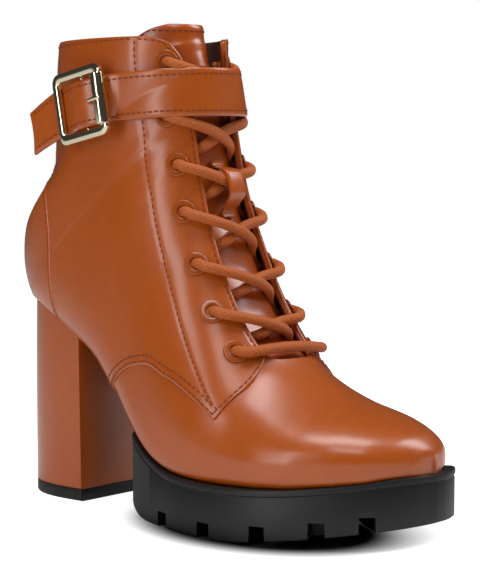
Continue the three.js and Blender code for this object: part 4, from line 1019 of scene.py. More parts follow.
def lathe(profile, frame, segments=40):
    """Points and faces of a closed profile turned round a frame's way out."""
    side, rise, out, middle = frame
    turns = np.linspace(0, 2 * np.pi, segments, endpoint=False)
    profile = np.array(profile, float)
    round_part = np.cos(turns)[:, None, None] * side + np.sin(turns)[:, None, None] * rise
    points = middle + round_part * profile[None, :, :1] + out * profile[None, :, 1:2]
    size = len(profile)
    faces = []
    for i in range(segments):
        n = (i + 1) % segments
        for j in range(size):
            k = (j + 1) % size
            faces.append((i * size + j, i * size + k, n * size + k, n * size + j))
    return points.reshape(-1, 3), faces


def eyelet_profile():
    """An eyelet's profile: its rolled flange, and the barrel that passes through the leather."""
    rim, lift, wall, overhang = 0.55, 0.35, 0.4, 0.4
    outer = [(EYELET_FLANGE - rim + rim * math.cos(t), lift + EYELET_ROUND * math.sin(t))
             for t in np.linspace(-0.2, math.pi / 2, 6)]
    inner = [(EYELET_HOLE + EYELET_ROUND - EYELET_ROUND * math.sin(t), lift + EYELET_ROUND * math.cos(t))
             for t in np.linspace(0, math.pi / 2, 6)]
    bottom = -WALL - LEATHER - overhang
    barrel = [(EYELET_HOLE, bottom), (EYELET_HOLE + wall, bottom), (EYELET_HOLE + wall, 0.2)]
    return outer + inner + barrel


def eyelets(enamel):
    """Sets a rolled eyelet at each place, on both sides."""
    profile = eyelet_profile()
    for word, side in (("lateral", -1), ("medial", 1)):
        for i, (u, share) in enumerate(EYELET_ROWS):
            frame = seat(u, side * share * EYELET_PITCH, LEATHER)
            points, faces = lathe(profile, frame)
            piece = mesh_piece(f"rolled_eyelet_{word}_{i + 1}", points, faces, enamel, 50)
            weld(piece)
            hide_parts(f"eyelet_{word}_{i + 1}")


def tube(path, radius, sides=16, flat=None, up=None):
    """Points, faces and a map of a round cord along a path, squeezed where flat says so."""
    path = np.asarray(path, float)
    along = unit(np.gradient(path, axis=0))
    up = np.asarray(up if up is not None else np.tile([0, 0, 1.0], (len(path), 1)), float)
    side = unit(np.cross(along, up))
    rise = np.cross(side, along)
    flat = np.ones(len(path)) if flat is None else flat
    radius = np.broadcast_to(radius, len(path))
    turns = np.linspace(0, 2 * np.pi, sides + 1)
    ring = (np.cos(turns)[None, :, None] * side[:, None] / np.sqrt(flat)[:, None, None]
            + np.sin(turns)[None, :, None] * rise[:, None] * flat[:, None, None])
    points = path[:, None] + ring * radius[:, None, None]
    at = np.concatenate([[0], np.cumsum(np.linalg.norm(np.diff(path, axis=0), axis=1))])
    uvs = np.stack([np.broadcast_to(at[:, None], points.shape[:2]),
                    np.broadcast_to(turns[None, :] * radius.mean(), points.shape[:2])], -1)
    faces = list(grid_faces(len(path), sides + 1, 0, True))
    last = (len(path) - 1) * (sides + 1)
    faces = [tuple(f) for f in faces]
    faces += [tuple(range(sides)), tuple(range(last, last + sides))[::-1]]
    return points.reshape(-1, 3), faces, uvs.reshape(-1, 2)


def smooth_path(points, count):
    """A smooth curve through points, in equal steps."""
    points = np.asarray(points, float)
    at = np.concatenate([[0], np.cumsum(np.linalg.norm(np.diff(points, axis=0), axis=1))])
    columns = np.column_stack([at, points])
    dense = np.linspace(0, at[-1], count)
    return np.stack([read(columns, k, dense) for k in range(1, points.shape[1] + 1)], -1)


def eyelet_height(row, side):
    """The height of the leather at an eyelet."""
    return skin(row[0], side * row[1] * EYELET_PITCH, LEATHER)[2]


def strand(upper, lower, side, over):
    """One run of lace: out of an eyelet, over the throat, under the far facing, to the next eyelet.

    The two crossings under the strap are squeezed flat, and the one under the keeper a little less.
    """
    under_strap, under_keeper = 0.72, 0.8
    (u0, share0), (u1, share1) = upper, lower
    g0, g1 = share0 * EYELET_PITCH, share1 * EYELET_PITCH
    high = LEATHER + 0.5 + LACE / 2
    press = under_strap if u0 > 14.5 else under_keeper if u0 > 14 else 1.0
    middle = -0.6 + (1 if over else -1) * LACE * 0.46 * press
    edge = THROAT_GAP * 0.98
    run = np.array([
        (g0 - 3.2, high - 0.3), (g0 - 6.5, high + 0.2), (edge, high - 0.2),
        (edge * 0.5, middle + (1.2 if over else 1.0)),
        (0, middle), (-edge * 0.55, -1.6), (-edge, -4.6), (-edge - 4, -5.4), (-g1 + 3, -5.6),
    ])
    share = (g0 - run[:, 0]) / (g0 + g1)
    top, bottom = eyelet_height(upper, side), eyelet_height(lower, -side)
    height = top + (bottom - top) * share + STRAYING * np.sin(np.pi * share)
    u = section_at_height(side * run[:, 0], run[:, 1], height)
    u = np.concatenate([[u0, u0, u0], u, [u1]])
    g = side * np.concatenate([[g0, g0, g0 - 0.5], run[:, 0], [-g1]])
    lift = np.concatenate([[-5.2, -1.5, 1.2], run[:, 1], [-5.2]])
    spots = skin(u, g, lift)
    spots = smooth_path(np.column_stack([spots, skin(u, g, lift + 1) - spots, side * g]), 110)
    hidden = np.clip((-spots[:, 6] - edge * 0.9) / 4, 0, 1)
    flat = 1 - hidden * 0.42
    flat = flat * np.interp(np.abs(spots[:, 6]), [0, 12, 20], [press, (1 + press) / 2, 1.0])
    return spots[:, :3], unit(spots[:, 3:6]), flat


def soften(path, rounds=3):
    """Evens out a path whose ends stay."""
    path = np.array(path)
    for _ in range(rounds):
        path[1:-1] = (path[:-2] + 2 * path[1:-1] + path[2:]) / 4
    return path


def laces(cord):
    """The six crossings, of two strands each, and the bar below them."""
    for i in range(len(EYELET_ROWS) - 1):
        points, faces, uvs = [], [], []
        for side, over in ((-1, True), (1, False)):
            path, out, flat = strand(EYELET_ROWS[i], EYELET_ROWS[i + 1], side, over)
            strand_points, strand_faces, strand_uvs = tube(soften(path), LACE / 2, 18, flat, out)
            start = sum(len(made) for made in points)
            points.append(strand_points)
            uvs.append(strand_uvs)
            faces += [tuple(start + k for k in face) for face in strand_faces]
        points, uvs = np.concatenate(points), np.concatenate(uvs)
        piece = mesh_piece(f"lace_run_{i + 1}", points, faces, cord, None, uvs)
        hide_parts(f"lace_crossing_{i + 1}")
    bar(cord)


def bar(cord):
    """The straight run of lace across the lowest two eyelets."""
    u, share = EYELET_ROWS[-1]
    g = share * EYELET_PITCH
    high = LEATHER + 0.3 + LACE / 2 + 0.6
    half = [
        (g, -5.0), (g, -1.5), (g - 0.5, 1.2), (g - 3.2, high), (g - 7, high + 0.3), (15, high - 0.9),
        (7.5, high - 2),
    ]
    marks = np.array(half + [(0, high - 2.4)] + [(-a, b) for a, b in reversed(half)])
    ends = [eyelet_height(EYELET_ROWS[-1], side) for side in (-1, 1)]
    share = (marks[:, 0] + g) / (2 * g)
    height = ends[0] + (ends[1] - ends[0]) * share + STRAYING * np.sin(np.pi * share)
    places = section_at_height(marks[:, 0], marks[:, 1], height)
    inside = marks[:, 1] < 1.3
    places[inside] = u
    spots = skin(places, marks[:, 0], marks[:, 1])
    spots = smooth_path(np.column_stack([spots, skin(places, marks[:, 0], marks[:, 1] + 1) - spots]), 130)
    points, faces, uvs = tube(soften(spots[:, :3]), LACE / 2, 18, None, unit(spots[:, 3:6]))
    piece = mesh_piece("lace_lowest_bar", points, faces, cord, None, uvs)
    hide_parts("lace_bar")


# The platform sole with its lugs, the heel and its top piece.
def feather_height(share):
    """The height of the upper's lowest line at stations in foot lengths."""
    u = np.linspace(0, 16, 1600)
    base = curve(BASE, u)
    order = np.argsort(base[:, 0])
    return np.interp(np.asarray(share) * FOOT_LENGTH, base[order, 0], base[order, 1])


def sole_stations():
    """Stations along the sole, close together where its outline turns at either end."""
    back = 0.421 + (0.5 - 0.421) * np.linspace(0, 1, 16) ** 1.6
    middle = np.arange(0.51, 0.9, 0.012)
    toe = 1.0105 - (1.0105 - 0.905) * (1 - np.linspace(0, 1, 34)) ** 2.0
    return np.concatenate([back, middle, toe])


def platform(rubber):
    """The platform as rings of its outline, from inside its underside up and round to its rim."""
    at = sole_stations()
    lateral = read(SOLE_ROWS, 1, at) * SOLE_WIDTH
    medial = read(SOLE_ROWS, 2, at) * SOLE_WIDTH
    low = read(SOLE_ROWS, 3, at) * TOE_SPRING
    high = feather_height(np.minimum(at, 0.995)) + RIM_LIP
    x = at * FOOT_LENGTH
    left = np.stack([x, lateral], -1)
    right = np.stack([x, medial], -1)[::-1]
    outline = np.concatenate([left, right])
    lows = np.concatenate([low, low[::-1]])
    highs = np.concatenate([high, high[::-1]])
    tangent = unit(np.roll(outline, -1, 0) - np.roll(outline, 1, 0))
    inward = np.stack([-tangent[:, 1], tangent[:, 0]], -1)
    levels = [
        (0, 0, 2.2), (0, 0, 0.7), (0, 0.5, 0.12), (0, 1.3, 0), (1, -4.2, 0), (1, -3.6, 0.35),
        (1, -3.0, 0.35), (1, -2.5, -0.25), (1, -0.9, -0.3), (1, -0.25, 0.0), (1, 0, 0.6), (1, 0, 3.4),
    ]
    rings = []
    for top, above, inset in levels:
        z = np.where(top, highs, lows) + above
        spot = outline + inward * inset
        rings.append(np.column_stack([spot, z]))
    size = len(outline)
    faces = [tuple(f) for f in grid_faces(len(rings), size, 0, False, True)]
    half = len(at)
    for ring, turned in ((0, True), (len(rings) - 1, False)):
        start = ring * size
        for i in range(half - 1):
            quad = (start + i, start + i + 1, start + size - 2 - i, start + size - 1 - i)
            faces.append(quad[::-1] if turned else quad)
    piece = mesh_piece("lugged_platform", np.concatenate(rings), faces, rubber, 35)
    weld(piece, 0.005)
    cut_lugs(piece)
    return piece


def sole_edge(at, side):
    """A point of the platform's outline at a station, on one side."""
    return np.array([at * FOOT_LENGTH, float(read(SOLE_ROWS, 1 if side < 0 else 2, at)) * SOLE_WIDTH])


def cut_lugs(piece):
    """Cuts each notch between lugs with a tapering block."""
    half, taper = LUG_GAP / 2, 0.5
    blocks = []
    for at, side, reach in LUG_ROWS:
        edge = sole_edge(at, side)
        along = unit(sole_edge(at + 0.015, side) - sole_edge(at - 0.015, side))
        inward = np.array([-along[1], along[0]]) * -side
        roof = float(read(SOLE_ROWS, 3, at)) * TOE_SPRING + LUG_DEPTH
        corners = []
        for b in (-6, reach):
            for a, z in ((-half, -5), (half, -5), (half - taper, roof), (-half + taper, roof)):
                spot = edge + along * a + inward * b
                corners.append((spot[0], spot[1], z))
        blocks.append(corners)
    points = np.array(blocks).reshape(-1, 3)
    faces = []
    for k in range(len(blocks)):
        s = 8 * k
        faces += [(s, s + 1, s + 2, s + 3), (s + 7, s + 6, s + 5, s + 4)]
        faces += [(s + i, s + 4 + i, s + 4 + (i + 1) % 4, s + (i + 1) % 4) for i in range(4)]
    cutter = mesh_piece("lug_cutter", points, faces, piece.data.materials[0])
    weld(cutter, 0.001)
    use_modifier(piece, "BOOLEAN", operation="DIFFERENCE", object=cutter, solver="EXACT", use_self=True)
    bpy.data.objects.remove(cutter)
    bpy.ops.object.select_all(action="DESELECT")
    piece.select_set(True)
    bpy.context.view_layer.objects.active = piece
    bpy.ops.object.shade_smooth_by_angle(angle=math.radians(32))
    piece.select_set(False)


def under_sheet(rows, reach, lift, columns):
    """A face under the foot, out to a reach on each side of its middle."""
    halves = []
    for side in (-1, 1):
        total = girths(rows, side)[:, -1]
        t = np.linspace(1, 0, columns)[None, :]
        halves.append(skin(rows[:, None], side * (total[:, None] - reach[:, None] * t), lift))
    return np.concatenate([halves[0], halves[1][:, ::-1][:, 1:]], axis=1)


def arch_sole(rubber):
    """The thin sole that runs back from the platform under the arch to the heel."""
    rows = np.arange(6.2, 15.2, 0.12)
    sides = curve(SIDES, rows)
    reach = np.maximum((sides[:, 1] - sides[:, 0]) / 2 - 13, 1.2)
    sheets = []
    for lift in (LEATHER + ARCH_THICKNESS, -0.6):
        sheets.append(under_sheet(rows, reach, lift, 14))
    points, faces = slab(sheets[0], sheets[1], True)
    return weld(mesh_piece("arch_sole", points, faces, rubber, 40), 0.001)


def heel_outline(z):
    """The heel's outline at a height, from the middle of its breast round its back."""
    table = [(i, back, out) for i, (back, out) in enumerate(HEEL_ROWS)]
    at = np.concatenate([[0, 0.35, 0.7, 1.0], np.linspace(1.15, 12, 60)])
    back = read(table, 1, at)
    out = read(table, 2, at)
    back[:4] = 0
    out[:4] = at[:4] * 0.93
    share = z / SEAT_HEIGHT
    half = (HEEL_BOTTOM_WIDTH + (HEEL_TOP_WIDTH - HEEL_BOTTOM_WIDTH) * share**1.4) / 2
    front = HEEL_REAR + HEEL_DEPTH - 0.9 * share
    x = front - back * (HEEL_DEPTH - HEEL_RAKE * share**2)
    lateral = np.stack([x, -out * half], -1)
    return np.concatenate([lateral, (lateral * [1, -1])[1:-1][::-1]])


def stacked(name, levels, material, angle=35):
    """A solid of outlines at rising heights, closed at both ends."""
    size = len(levels[0])
    faces = [tuple(f) for f in grid_faces(len(levels), size, 0, False, True)]
    faces.append(tuple(range(size))[::-1])
    faces.append(tuple(range((len(levels) - 1) * size, len(levels) * size)))
    return weld(mesh_piece(name, np.concatenate(levels), faces, material, angle), 0.001)


def heel(leather, upper):
    """The wrapped block, whose top edge runs up to the underside of the upper."""
    below, furthest, sunk = 40.0, 22, 1
    top = heel_outline(SEAT_HEIGHT)
    roof = feather_height(np.clip(top[:, 0] / FOOT_LENGTH, 0.0, HEEL_FRONT)) + 3
    for k, (x, y) in enumerate(top):
        spot = upper.ray_cast(Vector(to_world([x, y, below])), Vector((0, 0, 1)))[0]
        if spot is not None and spot[2] / MM < roof[k] + furthest:
            roof[k] = spot[2] / MM + sunk
    levels = []
    middle = np.array([HEEL_REAR + HEEL_DEPTH / 2, 0])
    heights = np.concatenate([
        [TOP_PIECE + 0.05, TOP_PIECE + 0.5], np.linspace(9, 82, 20), np.arange(85, 125, 3),
    ])
    for z in heights:
        outline = heel_outline(min(z, SEAT_HEIGHT))
        if z < TOP_PIECE + 0.3:
            outline = middle + (outline - middle) * 0.988
        levels.append(np.column_stack([outline, np.minimum(z, roof)]))
    inner = middle + (outline - middle) * 0.86
    floor = feather_height(np.clip(inner[:, 0] / FOOT_LENGTH, 0.0, HEEL_FRONT)) - sunk
    levels.append(np.column_stack([inner, floor]))
    return stacked("wrapped_heel", levels, leather, 30)


def top_piece(rubber):
    """The rubber top piece that the heel stands on."""
    levels = []
    middle = np.array([HEEL_REAR + HEEL_DEPTH / 2, 0])
    for z, scale in ((0, 0.975), (0.35, 0.99), (0.9, 1), (TOP_PIECE - 0.5, 1.0), (TOP_PIECE, 0.992)):
        outline = middle + (heel_outline(z) - middle) * scale
        levels.append(np.column_stack([outline, np.full(len(outline), z)]))
    return stacked("heel_tip", levels, rubber, 30)


def insole(lining):
    """The sock that lies on the insole, inside the wall."""
    rows = np.arange(1.5, 17.01, 0.2)
    sides = curve(SIDES, rows)
    reach = np.maximum((sides[:, 1] - sides[:, 0]) / 2 - WALL - 4, 1.2)
    sheets = []
    for lift in (-WALL - SOCK_GAP - SOCK_THICKNESS, -WALL - SOCK_GAP):
        sheets.append(under_sheet(rows, reach, lift, 10))
    points, faces = slab(sheets[0], sheets[1], False)
    return weld(mesh_piece("insole_sock", points, faces, lining, 40), 0.001)


# The strap and its buckle.
BUCKLE_ORIGIN = np.array([
    COLLAR_BACK + SHAFT_DEPTH / 2 - 2.6, -(0.5 * SHAFT_WIDTH + LEATHER + 6), 0.8605 * COLLAR_HEIGHT,
])
BUCKLE_X = np.array([math.cos(BUCKLE_TILT), 0, math.sin(BUCKLE_TILT)])
BUCKLE_Y = np.array([-math.sin(BUCKLE_TILT), 0, math.cos(BUCKLE_TILT)])
BUCKLE_Z = np.array([0, -1.0, 0])


def in_buckle(points):
    """Points along, up and out in the buckle's frame, as points of the drawing."""
    points = np.asarray(points, float)
    return (BUCKLE_ORIGIN + points[..., :1] * BUCKLE_X + points[..., 1:2] * BUCKLE_Y
            + points[..., 2:3] * BUCKLE_Z)


def shaft_point(turn, height, lift):
    """Points of the shaft at an angle and a height, lifted off it."""
    turn, height, lift = np.broadcast_arrays(*(np.asarray(v, float) for v in (turn, height, lift)))
    low = np.full(turn.shape, 13.5)
    high = np.full(turn.shape, LAST_ROW)
    for _ in range(26):
        u = (low + high) / 2
        z = (last_point(u, turn) + last_normal(u, turn) * lift[..., None])[..., 2]
        low = np.where(z < height, u, low)
        high = np.where(z < height, high, u)
    return last_point(low, turn) + last_normal(low, turn) * lift[..., None]


def strap_surface():
    """The strap's inner face as rows along it and places across it, and the way out of it."""
    at = np.linspace(0, 9, 150)
    turn, middle = read(STRAP_ROWS, 1, at), read(STRAP_ROWS, 2, at) * COLLAR_HEIGHT
    lift = LEATHER + read(STRAP_ROWS, 3, at)
    half = STRAP_WIDTH / 2
    across = np.concatenate([[-half, -half + 0.25, -half + 0.7], np.linspace(-half + 1.3, half - 1.3, 15),
                             [half - 0.7, half - 0.25, half]])
    spots = shaft_point(turn[:, None], middle[:, None] + across[None, :], lift[:, None])
    end = smooth_path(np.array(STRAP_END, float), 70)
    out_of_end = []
    for along, drop, out in end:
        rate = np.clip((-along - 30) / 4, 0, 1)
        slant = -0.4 * rate
        bow = 1.1 * rate * (1 - (across / half) ** 2)
        taper = 1 - 0.08 * np.clip((-along - 18) / 16, 0, 1)
        out_of_end.append(np.stack([
            along - slant * across / half + bow, across * taper - drop, np.full(len(across), out),
        ], -1))
    spots = np.concatenate([spots, in_buckle(np.array(out_of_end))])
    spots[:-1] = relax(spots)[:-1]
    along = np.gradient(spots, axis=0)
    over = np.gradient(spots, axis=1)
    out = unit(np.cross(over, along))
    reference = spots - np.array([COLLAR_BACK + SHAFT_DEPTH / 2, 0, 0])
    reference[..., 2] = 0
    sign = np.sign((out * reference).sum(-1, keepdims=True))
    return spots, out * np.where(sign == 0, 1, sign), across


def relax(spots, rounds=14):
    """Evens out the rows of a grid of points, whose first and last rows stay."""
    spots = spots.copy()
    for _ in range(rounds):
        spots[1:-1] = (spots[:-2] + 2 * spots[1:-1] + spots[2:]) / 4
    return spots


def strap(leather):
    """The strap, with its edges turned down on both faces."""
    spots, out, across = strap_surface()
    near = STRAP_WIDTH / 2 - np.abs(across)
    roll = edge_roll(near, 1.2, 0.75)[None, :]
    outer = spots + out * (STRAP_THICKNESS - roll)[..., None]
    inner = spots + out * (roll * 0.5)[..., None]
    points, faces = slab(outer, inner, False)
    piece = mesh_piece("ankle_strap", points, faces, leather, 50)
    weld(piece, 0.0005)
    return piece


def strap_stitches(ground, thread):
    """A row inside each edge of the strap."""
    spots, out, across = strap_surface()
    paths = []
    for target in (-STRAP_WIDTH / 2 + EDGE_STITCH_INSET, STRAP_WIDTH / 2 - EDGE_STITCH_INSET):
        k = int(np.argmin(np.abs(across - target)))
        path = spots[:, k] + out[:, k] * STRAP_THICKNESS
        paths.append(path[2:-3])
    return sew("stitches_strap", paths, ground, thread, pitch=2.9)


def rounded(width, height, radius, count=8):
    """The outline of a rectangle with round corners."""
    points = []
    for q, (sx, sy) in enumerate([(1, 1), (-1, 1), (-1, -1), (1, -1)]):
        for k in range(count + 1):
            t = (q + k / count) * math.pi / 2
            points.append((sx * (width / 2 - radius) + radius * math.cos(t),
                           sy * (height / 2 - radius) + radius * math.sin(t)))
    return np.array(points)


def buckle_frame(metal):
    """The buckle's fixed pieces: its frame, the middle bar, and the bar's two legs."""
    half = BUCKLE_HEIGHT / 2 - BUCKLE_BAR
    hub = np.array([[0, y, -BAR_DROP] for y in np.linspace(-half - 1, half + 1, 12)])
    pieces = [flat_frame(metal), rod("middle_bar", hub, 0.9, 14, BUCKLE_Z, metal)]
    for sign, word in ((1, "upper"), (-1, "lower")):
        leg = np.array([
            (0, sign * (half + 1.2), -4.3), (0, sign * (half + 1.3), -2.2), (0, sign * (half + 1.5), -0.6),
        ])
        pieces.append(rod("bar_leg_" + word, leg, 1.0, 12, BUCKLE_X, metal))
    return pieces


def flat_frame(metal):
    """A flat frame with bevelled bars: rings of its section joined round."""
    outer = rounded(BUCKLE_WIDTH, BUCKLE_HEIGHT, 4.6)
    inner = rounded(BUCKLE_WIDTH - 2 * BUCKLE_BAR, BUCKLE_HEIGHT - 2 * BUCKLE_BAR, 2.2)
    section = [
        (0.0, -1.2), (0.0, 0.3), (0.16, 0.8), (0.36, 1.15), (0.64, 1.15), (0.84, 0.8), (1.0, 0.3),
        (1.0, -1.2),
    ]
    rings = []
    for share, z in section:
        ring = outer + (inner - outer) * share
        rings.append(in_buckle(np.column_stack([ring, np.full(len(ring), z)])))
    size = len(outer)
    faces = [tuple(f) for f in grid_faces(len(rings), size, 0, False, True)]
    last = (len(rings) - 1) * size
    faces += [((j + 1) % size, j, last + j, last + (j + 1) % size) for j in range(size)]
    return weld(mesh_piece("flat_bar_frame", np.concatenate(rings), faces, metal, 38), 0.001)


def rod(name, path, radius, sides, up, metal):
    """A round rod along a path of the buckle's frame."""
    points, faces, _ = tube(in_buckle(path), radius, sides, None, np.tile(up, (len(path), 1)))
    return weld(mesh_piece(name, points, faces, metal, 50), 0.001)


def roller(metal):
    """The sleeve that turns on the frame's far bar."""
    along = BUCKLE_HEIGHT / 2 - BUCKLE_BAR - 0.7
    x = BUCKLE_WIDTH / 2 - 2.8
    profile = [(1.0, -along), (2.7, -along), (3.2, -along + 0.25), (3.35, -along + 0.7), (3.35, along - 0.7),
               (3.2, along - 0.25), (2.7, along), (1.0, along)]
    middle = in_buckle(np.array([x, 0, 0.0]))
    points, faces = lathe(profile, (BUCKLE_X, BUCKLE_Z, BUCKLE_Y, middle), 32)
    return weld(mesh_piece("buckle_sleeve", points, faces, metal, 40), 0.001)


def prong(metal):
    """The pin, bent up from the middle bar and over the sleeve, with a rounded tip."""
    marks = np.array([
        (0.8, 0, -5.0), (3, 0, -4.7), (4.3, 0, -3.7), (5.1, 0, -2), (5.5, 0, -0.2), (6.6, 0, 1.4),
        (8.6, 0, 2.5), (11.4, 0, 3.1), (13.8, 0, 3.35), (16.2, 0, 3.2),
    ])
    radius = np.interp(np.arange(40), [0, 34, 38, 39], [0.95, 0.95, 0.7, 0.3])
    return rod("prong", smooth_path(marks, 40), radius, 14, BUCKLE_Y, metal)


def tab(leather):
    """The leather tab sewn to the shaft that loops round the buckle's middle bar."""
    path = np.array([(-10, -6.6), (-6, -6.4), (-2.5, -6.2), (0.8, -5.5), (2.2, -3.9), (1.6, -2.2), (0, -1.6),
                     (-1.6, -2.2), (-2.4, -3.9), (-5.0, -5.0), (-10, -5.2)])
    rows = smooth_path(path, 60)
    tangent = unit(np.gradient(rows, axis=0))
    normal = np.stack([-tangent[:, 1], tangent[:, 0]], -1)
    half, half_thickness = 8.0, 0.45
    across = np.array([-half, -half + 0.3, -half + 1, 0, half - 1, half - 0.3, half])
    size = (len(rows), len(across))
    sheets = []
    for lift in (half_thickness, -half_thickness):
        flat = rows + normal * lift
        sheets.append(in_buckle(np.stack([
            np.broadcast_to(flat[:, None, 0], size), np.broadcast_to(across[None, :], size),
            np.broadcast_to(flat[:, None, 1], size),
        ], -1)))
    points, faces = slab(sheets[0], sheets[1])
    return weld(mesh_piece("buckle_loop", points, faces, leather, 50), 0.0005)


# The studio.
def camera():
    """The photograph's camera: the sensor's width spans the picture's longer side, its height."""
    forward = (-math.cos(EYE_TURN) * math.cos(EYE_TILT), math.sin(EYE_TURN) * math.cos(EYE_TILT),
               -math.sin(EYE_TILT))
    data = bpy.data.cameras.new("photo_camera")
    data.sensor_width = 36.0
    data.lens = data.sensor_width * FOCAL_PIXELS / PHOTO_HEIGHT
    data.clip_end = 20
    made = bpy.data.objects.new("photo_camera", data)
    bpy.context.scene.collection.objects.link(made)
    made.location = to_world(EYE)
    made.rotation_euler = Vector(forward).to_track_quat("-Z", "Y").to_euler()
    bpy.context.scene.camera = made


def softbox(name, place, aim, width, height, power):
    """A rectangular light at a place, turned to its aim."""
    data = bpy.data.lights.new(name, "AREA")
    data.shape = "RECTANGLE"
    data.size = width
    data.size_y = height
    data.energy = power
    made = bpy.data.objects.new(name, data)
    bpy.context.scene.collection.objects.link(made)
    made.location = place
    made.rotation_euler = (Vector(aim) - Vector(place)).to_track_quat("-Z", "Y").to_euler()


def paper_material():
    """White paper, evenly bright, with a soft dark shadow painted into its colour and glow under the
    forefoot.
    """
    made, tree = blank_material("white_paper_floor_with_painted_shadow")
    place = node(tree, "ShaderNodeTexCoord").outputs["Object"]
    reach = node(tree, "ShaderNodeVectorMath", {0: place}, operation="LENGTH").outputs["Value"]
    glow = node(
        tree, "ShaderNodeMapRange",
        {"Value": reach, "From Min": GLOW_REACH[0], "From Max": GLOW_REACH[1],
         "To Min": FLOOR_GLOW[0], "To Max": FLOOR_GLOW[1]},
        interpolation_type="SMOOTHSTEP",
    )
    centre = [-middle / half for middle, half in zip(SHADOW_MIDDLE, SHADOW_HALF)] + [0.0]
    scale = [1 / half for half in SHADOW_HALF] + [1.0]
    near = node(
        tree, "ShaderNodeMapping", {"Vector": place, "Location": centre, "Scale": scale},
        vector_type="POINT",
    )
    far = node(tree, "ShaderNodeVectorMath", {0: near.outputs[0]}, operation="LENGTH").outputs["Value"]
    painted_shadow_fade = node(
        tree, "ShaderNodeMapRange",
        {"Value": far, "From Min": SHADOW_EDGE[0], "From Max": SHADOW_EDGE[1], "To Min": 0.0, "To Max": 1.0},
        interpolation_type="SMOOTHSTEP",
    )
    # Painted shadow: the paper's colour falls to nearly black under the forefoot.
    paper = node(
        tree, "ShaderNodeMapRange", {"Value": painted_shadow_fade.outputs[0], "To Min": PAINTED_SHADOW_PAPER[0], "To Max": PAINTED_SHADOW_PAPER[1]},
    )
    # The painted shadow takes the floor's glow away there too.
    glow = node(tree, "ShaderNodeMath", {0: glow.outputs[0], 1: painted_shadow_fade.outputs[0]}, operation="MULTIPLY")
    seen = node(tree, "ShaderNodeLightPath").outputs["Is Camera Ray"]
    share = node(tree, "ShaderNodeMapRange", {"Value": seen, "To Min": BOUNCE, "To Max": 1.0})
    glow = node(tree, "ShaderNodeMath", {0: glow.outputs[0], 1: share.outputs[0]}, operation="MULTIPLY")
    shader = node(
        tree, "ShaderNodeBsdfPrincipled",
        {"Base Color": paper.outputs[0], "Roughness": 1.0, "Specular IOR Level": 0.0,
         "Emission Color": (1, 1, 1, 1), "Emission Strength": glow.outputs[0]},
    )
    output(tree, shader)
    return made


def paper_floor():
    """The floor that the boot stands on, many boots wide."""
    half = 9
    corners = [(-half, -half, 0), (half, -half, 0), (half, half, 0), (-half, half, 0)]
    mesh = bpy.data.meshes.new("floor")
    mesh.from_pydata(corners, [], [(0, 1, 2, 3)])
    floor = bpy.data.objects.new("floor", mesh)
    mesh.materials.append(paper_material())
    bpy.context.scene.collection.objects.link(floor)


def white_room():
    """White all round for the camera, and faint light on the boot."""
    world = bpy.data.worlds.new("white_room")
    world.use_nodes = True
    tree = world.node_tree
    tree.nodes.clear()
    seen = node(tree, "ShaderNodeLightPath").outputs["Is Camera Ray"]
    strength = node(tree, "ShaderNodeMapRange", {"Value": seen, "To Min": AMBIENT, "To Max": 1.0})
    light = node(tree, "ShaderNodeBackground", {"Color": (1, 1, 1, 1), "Strength": strength.outputs[0]})
    node(tree, "ShaderNodeOutputWorld", {"Surface": light.outputs[0]})
    bpy.context.scene.world = world
    bpy.context.scene.view_settings.view_transform = "Standard"


def studio():
    """The floor, the room and the softboxes."""
    paper_floor()
    white_room()
    for row in SOFTBOXES:
        softbox(*row)


# The whole boot.
def upper_pieces(tan, tongue_tan, lining):
    """The leather pieces of the upper: the shell, the quarters, the counter, the tongue and its keeper."""
    shell = vamp_and_lining(tan, lining)
    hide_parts("upper")
    quarters = [quarter(-1, "quarter_lateral", tan), quarter(1, "quarter_medial", tan)]
    back = counter(tan)
    tongue_piece = tongue(tongue_tan)
    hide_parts("tongue")
    keeper_piece = keeper(tan)
    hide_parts("tongue_keeper")
    return shell, quarters, back, tongue_piece, keeper_piece


def bottom_pieces(tan, rubber, lining, ground):
    """The platform, the arch, the heel that reaches up to the ground it is given, its tip, and the sock."""
    sole = platform(rubber)
    arch = arch_sole(rubber)
    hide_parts("outsole")
    heel_piece = heel(tan, ground)
    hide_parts("heel_block")
    tip = top_piece(rubber)
    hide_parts("heel_top_piece")
    sock = insole(lining)
    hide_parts("insole")
    return sole, arch, heel_piece, tip, sock


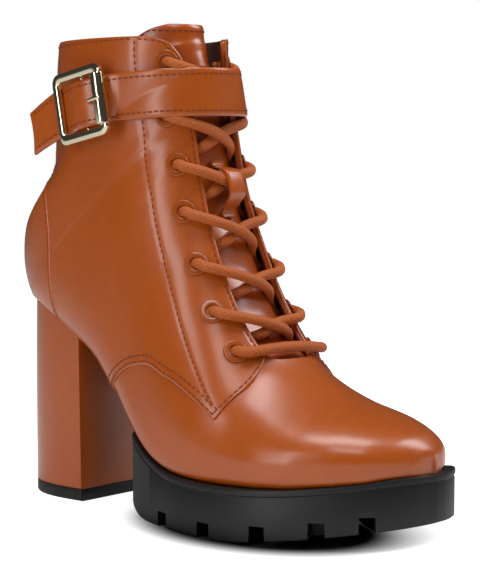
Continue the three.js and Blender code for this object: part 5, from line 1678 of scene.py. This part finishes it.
def strap_pieces(tan, gold):
    """The strap, the buckle's frame with its bar, the sleeve, the pin and the tab."""
    strap_piece = strap(tan)
    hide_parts("strap")
    frame_parts = buckle_frame(gold)
    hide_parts("buckle_frame")
    sleeve = roller(gold)
    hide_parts("buckle_roller")
    pin = prong(gold)
    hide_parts("buckle_prong")
    loop = tab(tan)
    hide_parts("buckle_tab")
    return strap_piece, frame_parts, sleeve, pin, loop


def boot():
    """Makes the materials and every piece, and gives each piece its slot."""
    # Smooth full-grain leather with a finish coat: an even warm tan, fine pores, soft broad highlights.
    tan = leather_material("smooth_tan_leather", "#B45304", "#AA4B03", 0.45, 1.0, 1.1, 0.028)
    # The same leather on soft padding, glossier: brighter highlights along its swells.
    tongue_tan = leather_material("tongue_leather", "#B4500C", "#A84709", 0.34, 1.0, 1.1, 0.025)
    # Cloth lining: dull dark brown, faintly rough, with no highlight.
    lining = plain_material("lining_cloth", "#5A3A26", 0.9, 0.6, 0.06)
    # Enamelled steel eyelets: a smooth skin of tan paint with small sharp highlights.
    enamel = plain_material("tan_enamel_on_steel", "#A04A0C", 0.22, 0.8, 0.006, coat=0.3)
    # Moulded rubber: near black and half matt, with a pale sheen only along its edges.
    rubber = plain_material("moulded_rubber", "#0A0A09", 0.5, 0.5, 0.03)
    # Bonded thread: matt rows a little redder and darker than the leather; part of that darkness is
    # painted shade of the sunk needle holes.
    thread = plain_material("bonded_thread", "#8A3A0A", 0.85, 0.25, 0.05)
    # Polished steel with pale gold plate: mirror bright, so that it shows the room and the softboxes.
    gold = plain_material("polished_pale_gold_plate", "#E2D8BC", 0.1, 2.0, 0.004, metallic=1.0, vary=0.02)
    cord = lace_material()

    shell, quarters, back, tongue_piece, keeper_piece = upper_pieces(tan, tongue_tan, lining)
    ground = surface_of(shell, back, *quarters)
    sole, arch, heel_piece, tip, sock = bottom_pieces(tan, rubber, lining, ground)
    eyelets(enamel)
    laces(cord)
    strap_piece, frame_parts, sleeve, pin, loop = strap_pieces(tan, gold)
    for side, word, panel in ((-1, "lateral", quarters[0]), (1, "medial", quarters[1])):
        upper_stitches(side, word, surface_of(panel), thread)
    counter_stitches(surface_of(back), thread)
    tongue_stitches(surface_of(tongue_piece), thread)
    strap_stitches(surface_of(strap_piece), thread)


def main():
    bpy.ops.object.select_all(action="DESELECT")
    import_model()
    bpy.ops.object.select_all(action="DESELECT")
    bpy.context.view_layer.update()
    camera()
    studio()
    boot()


main()
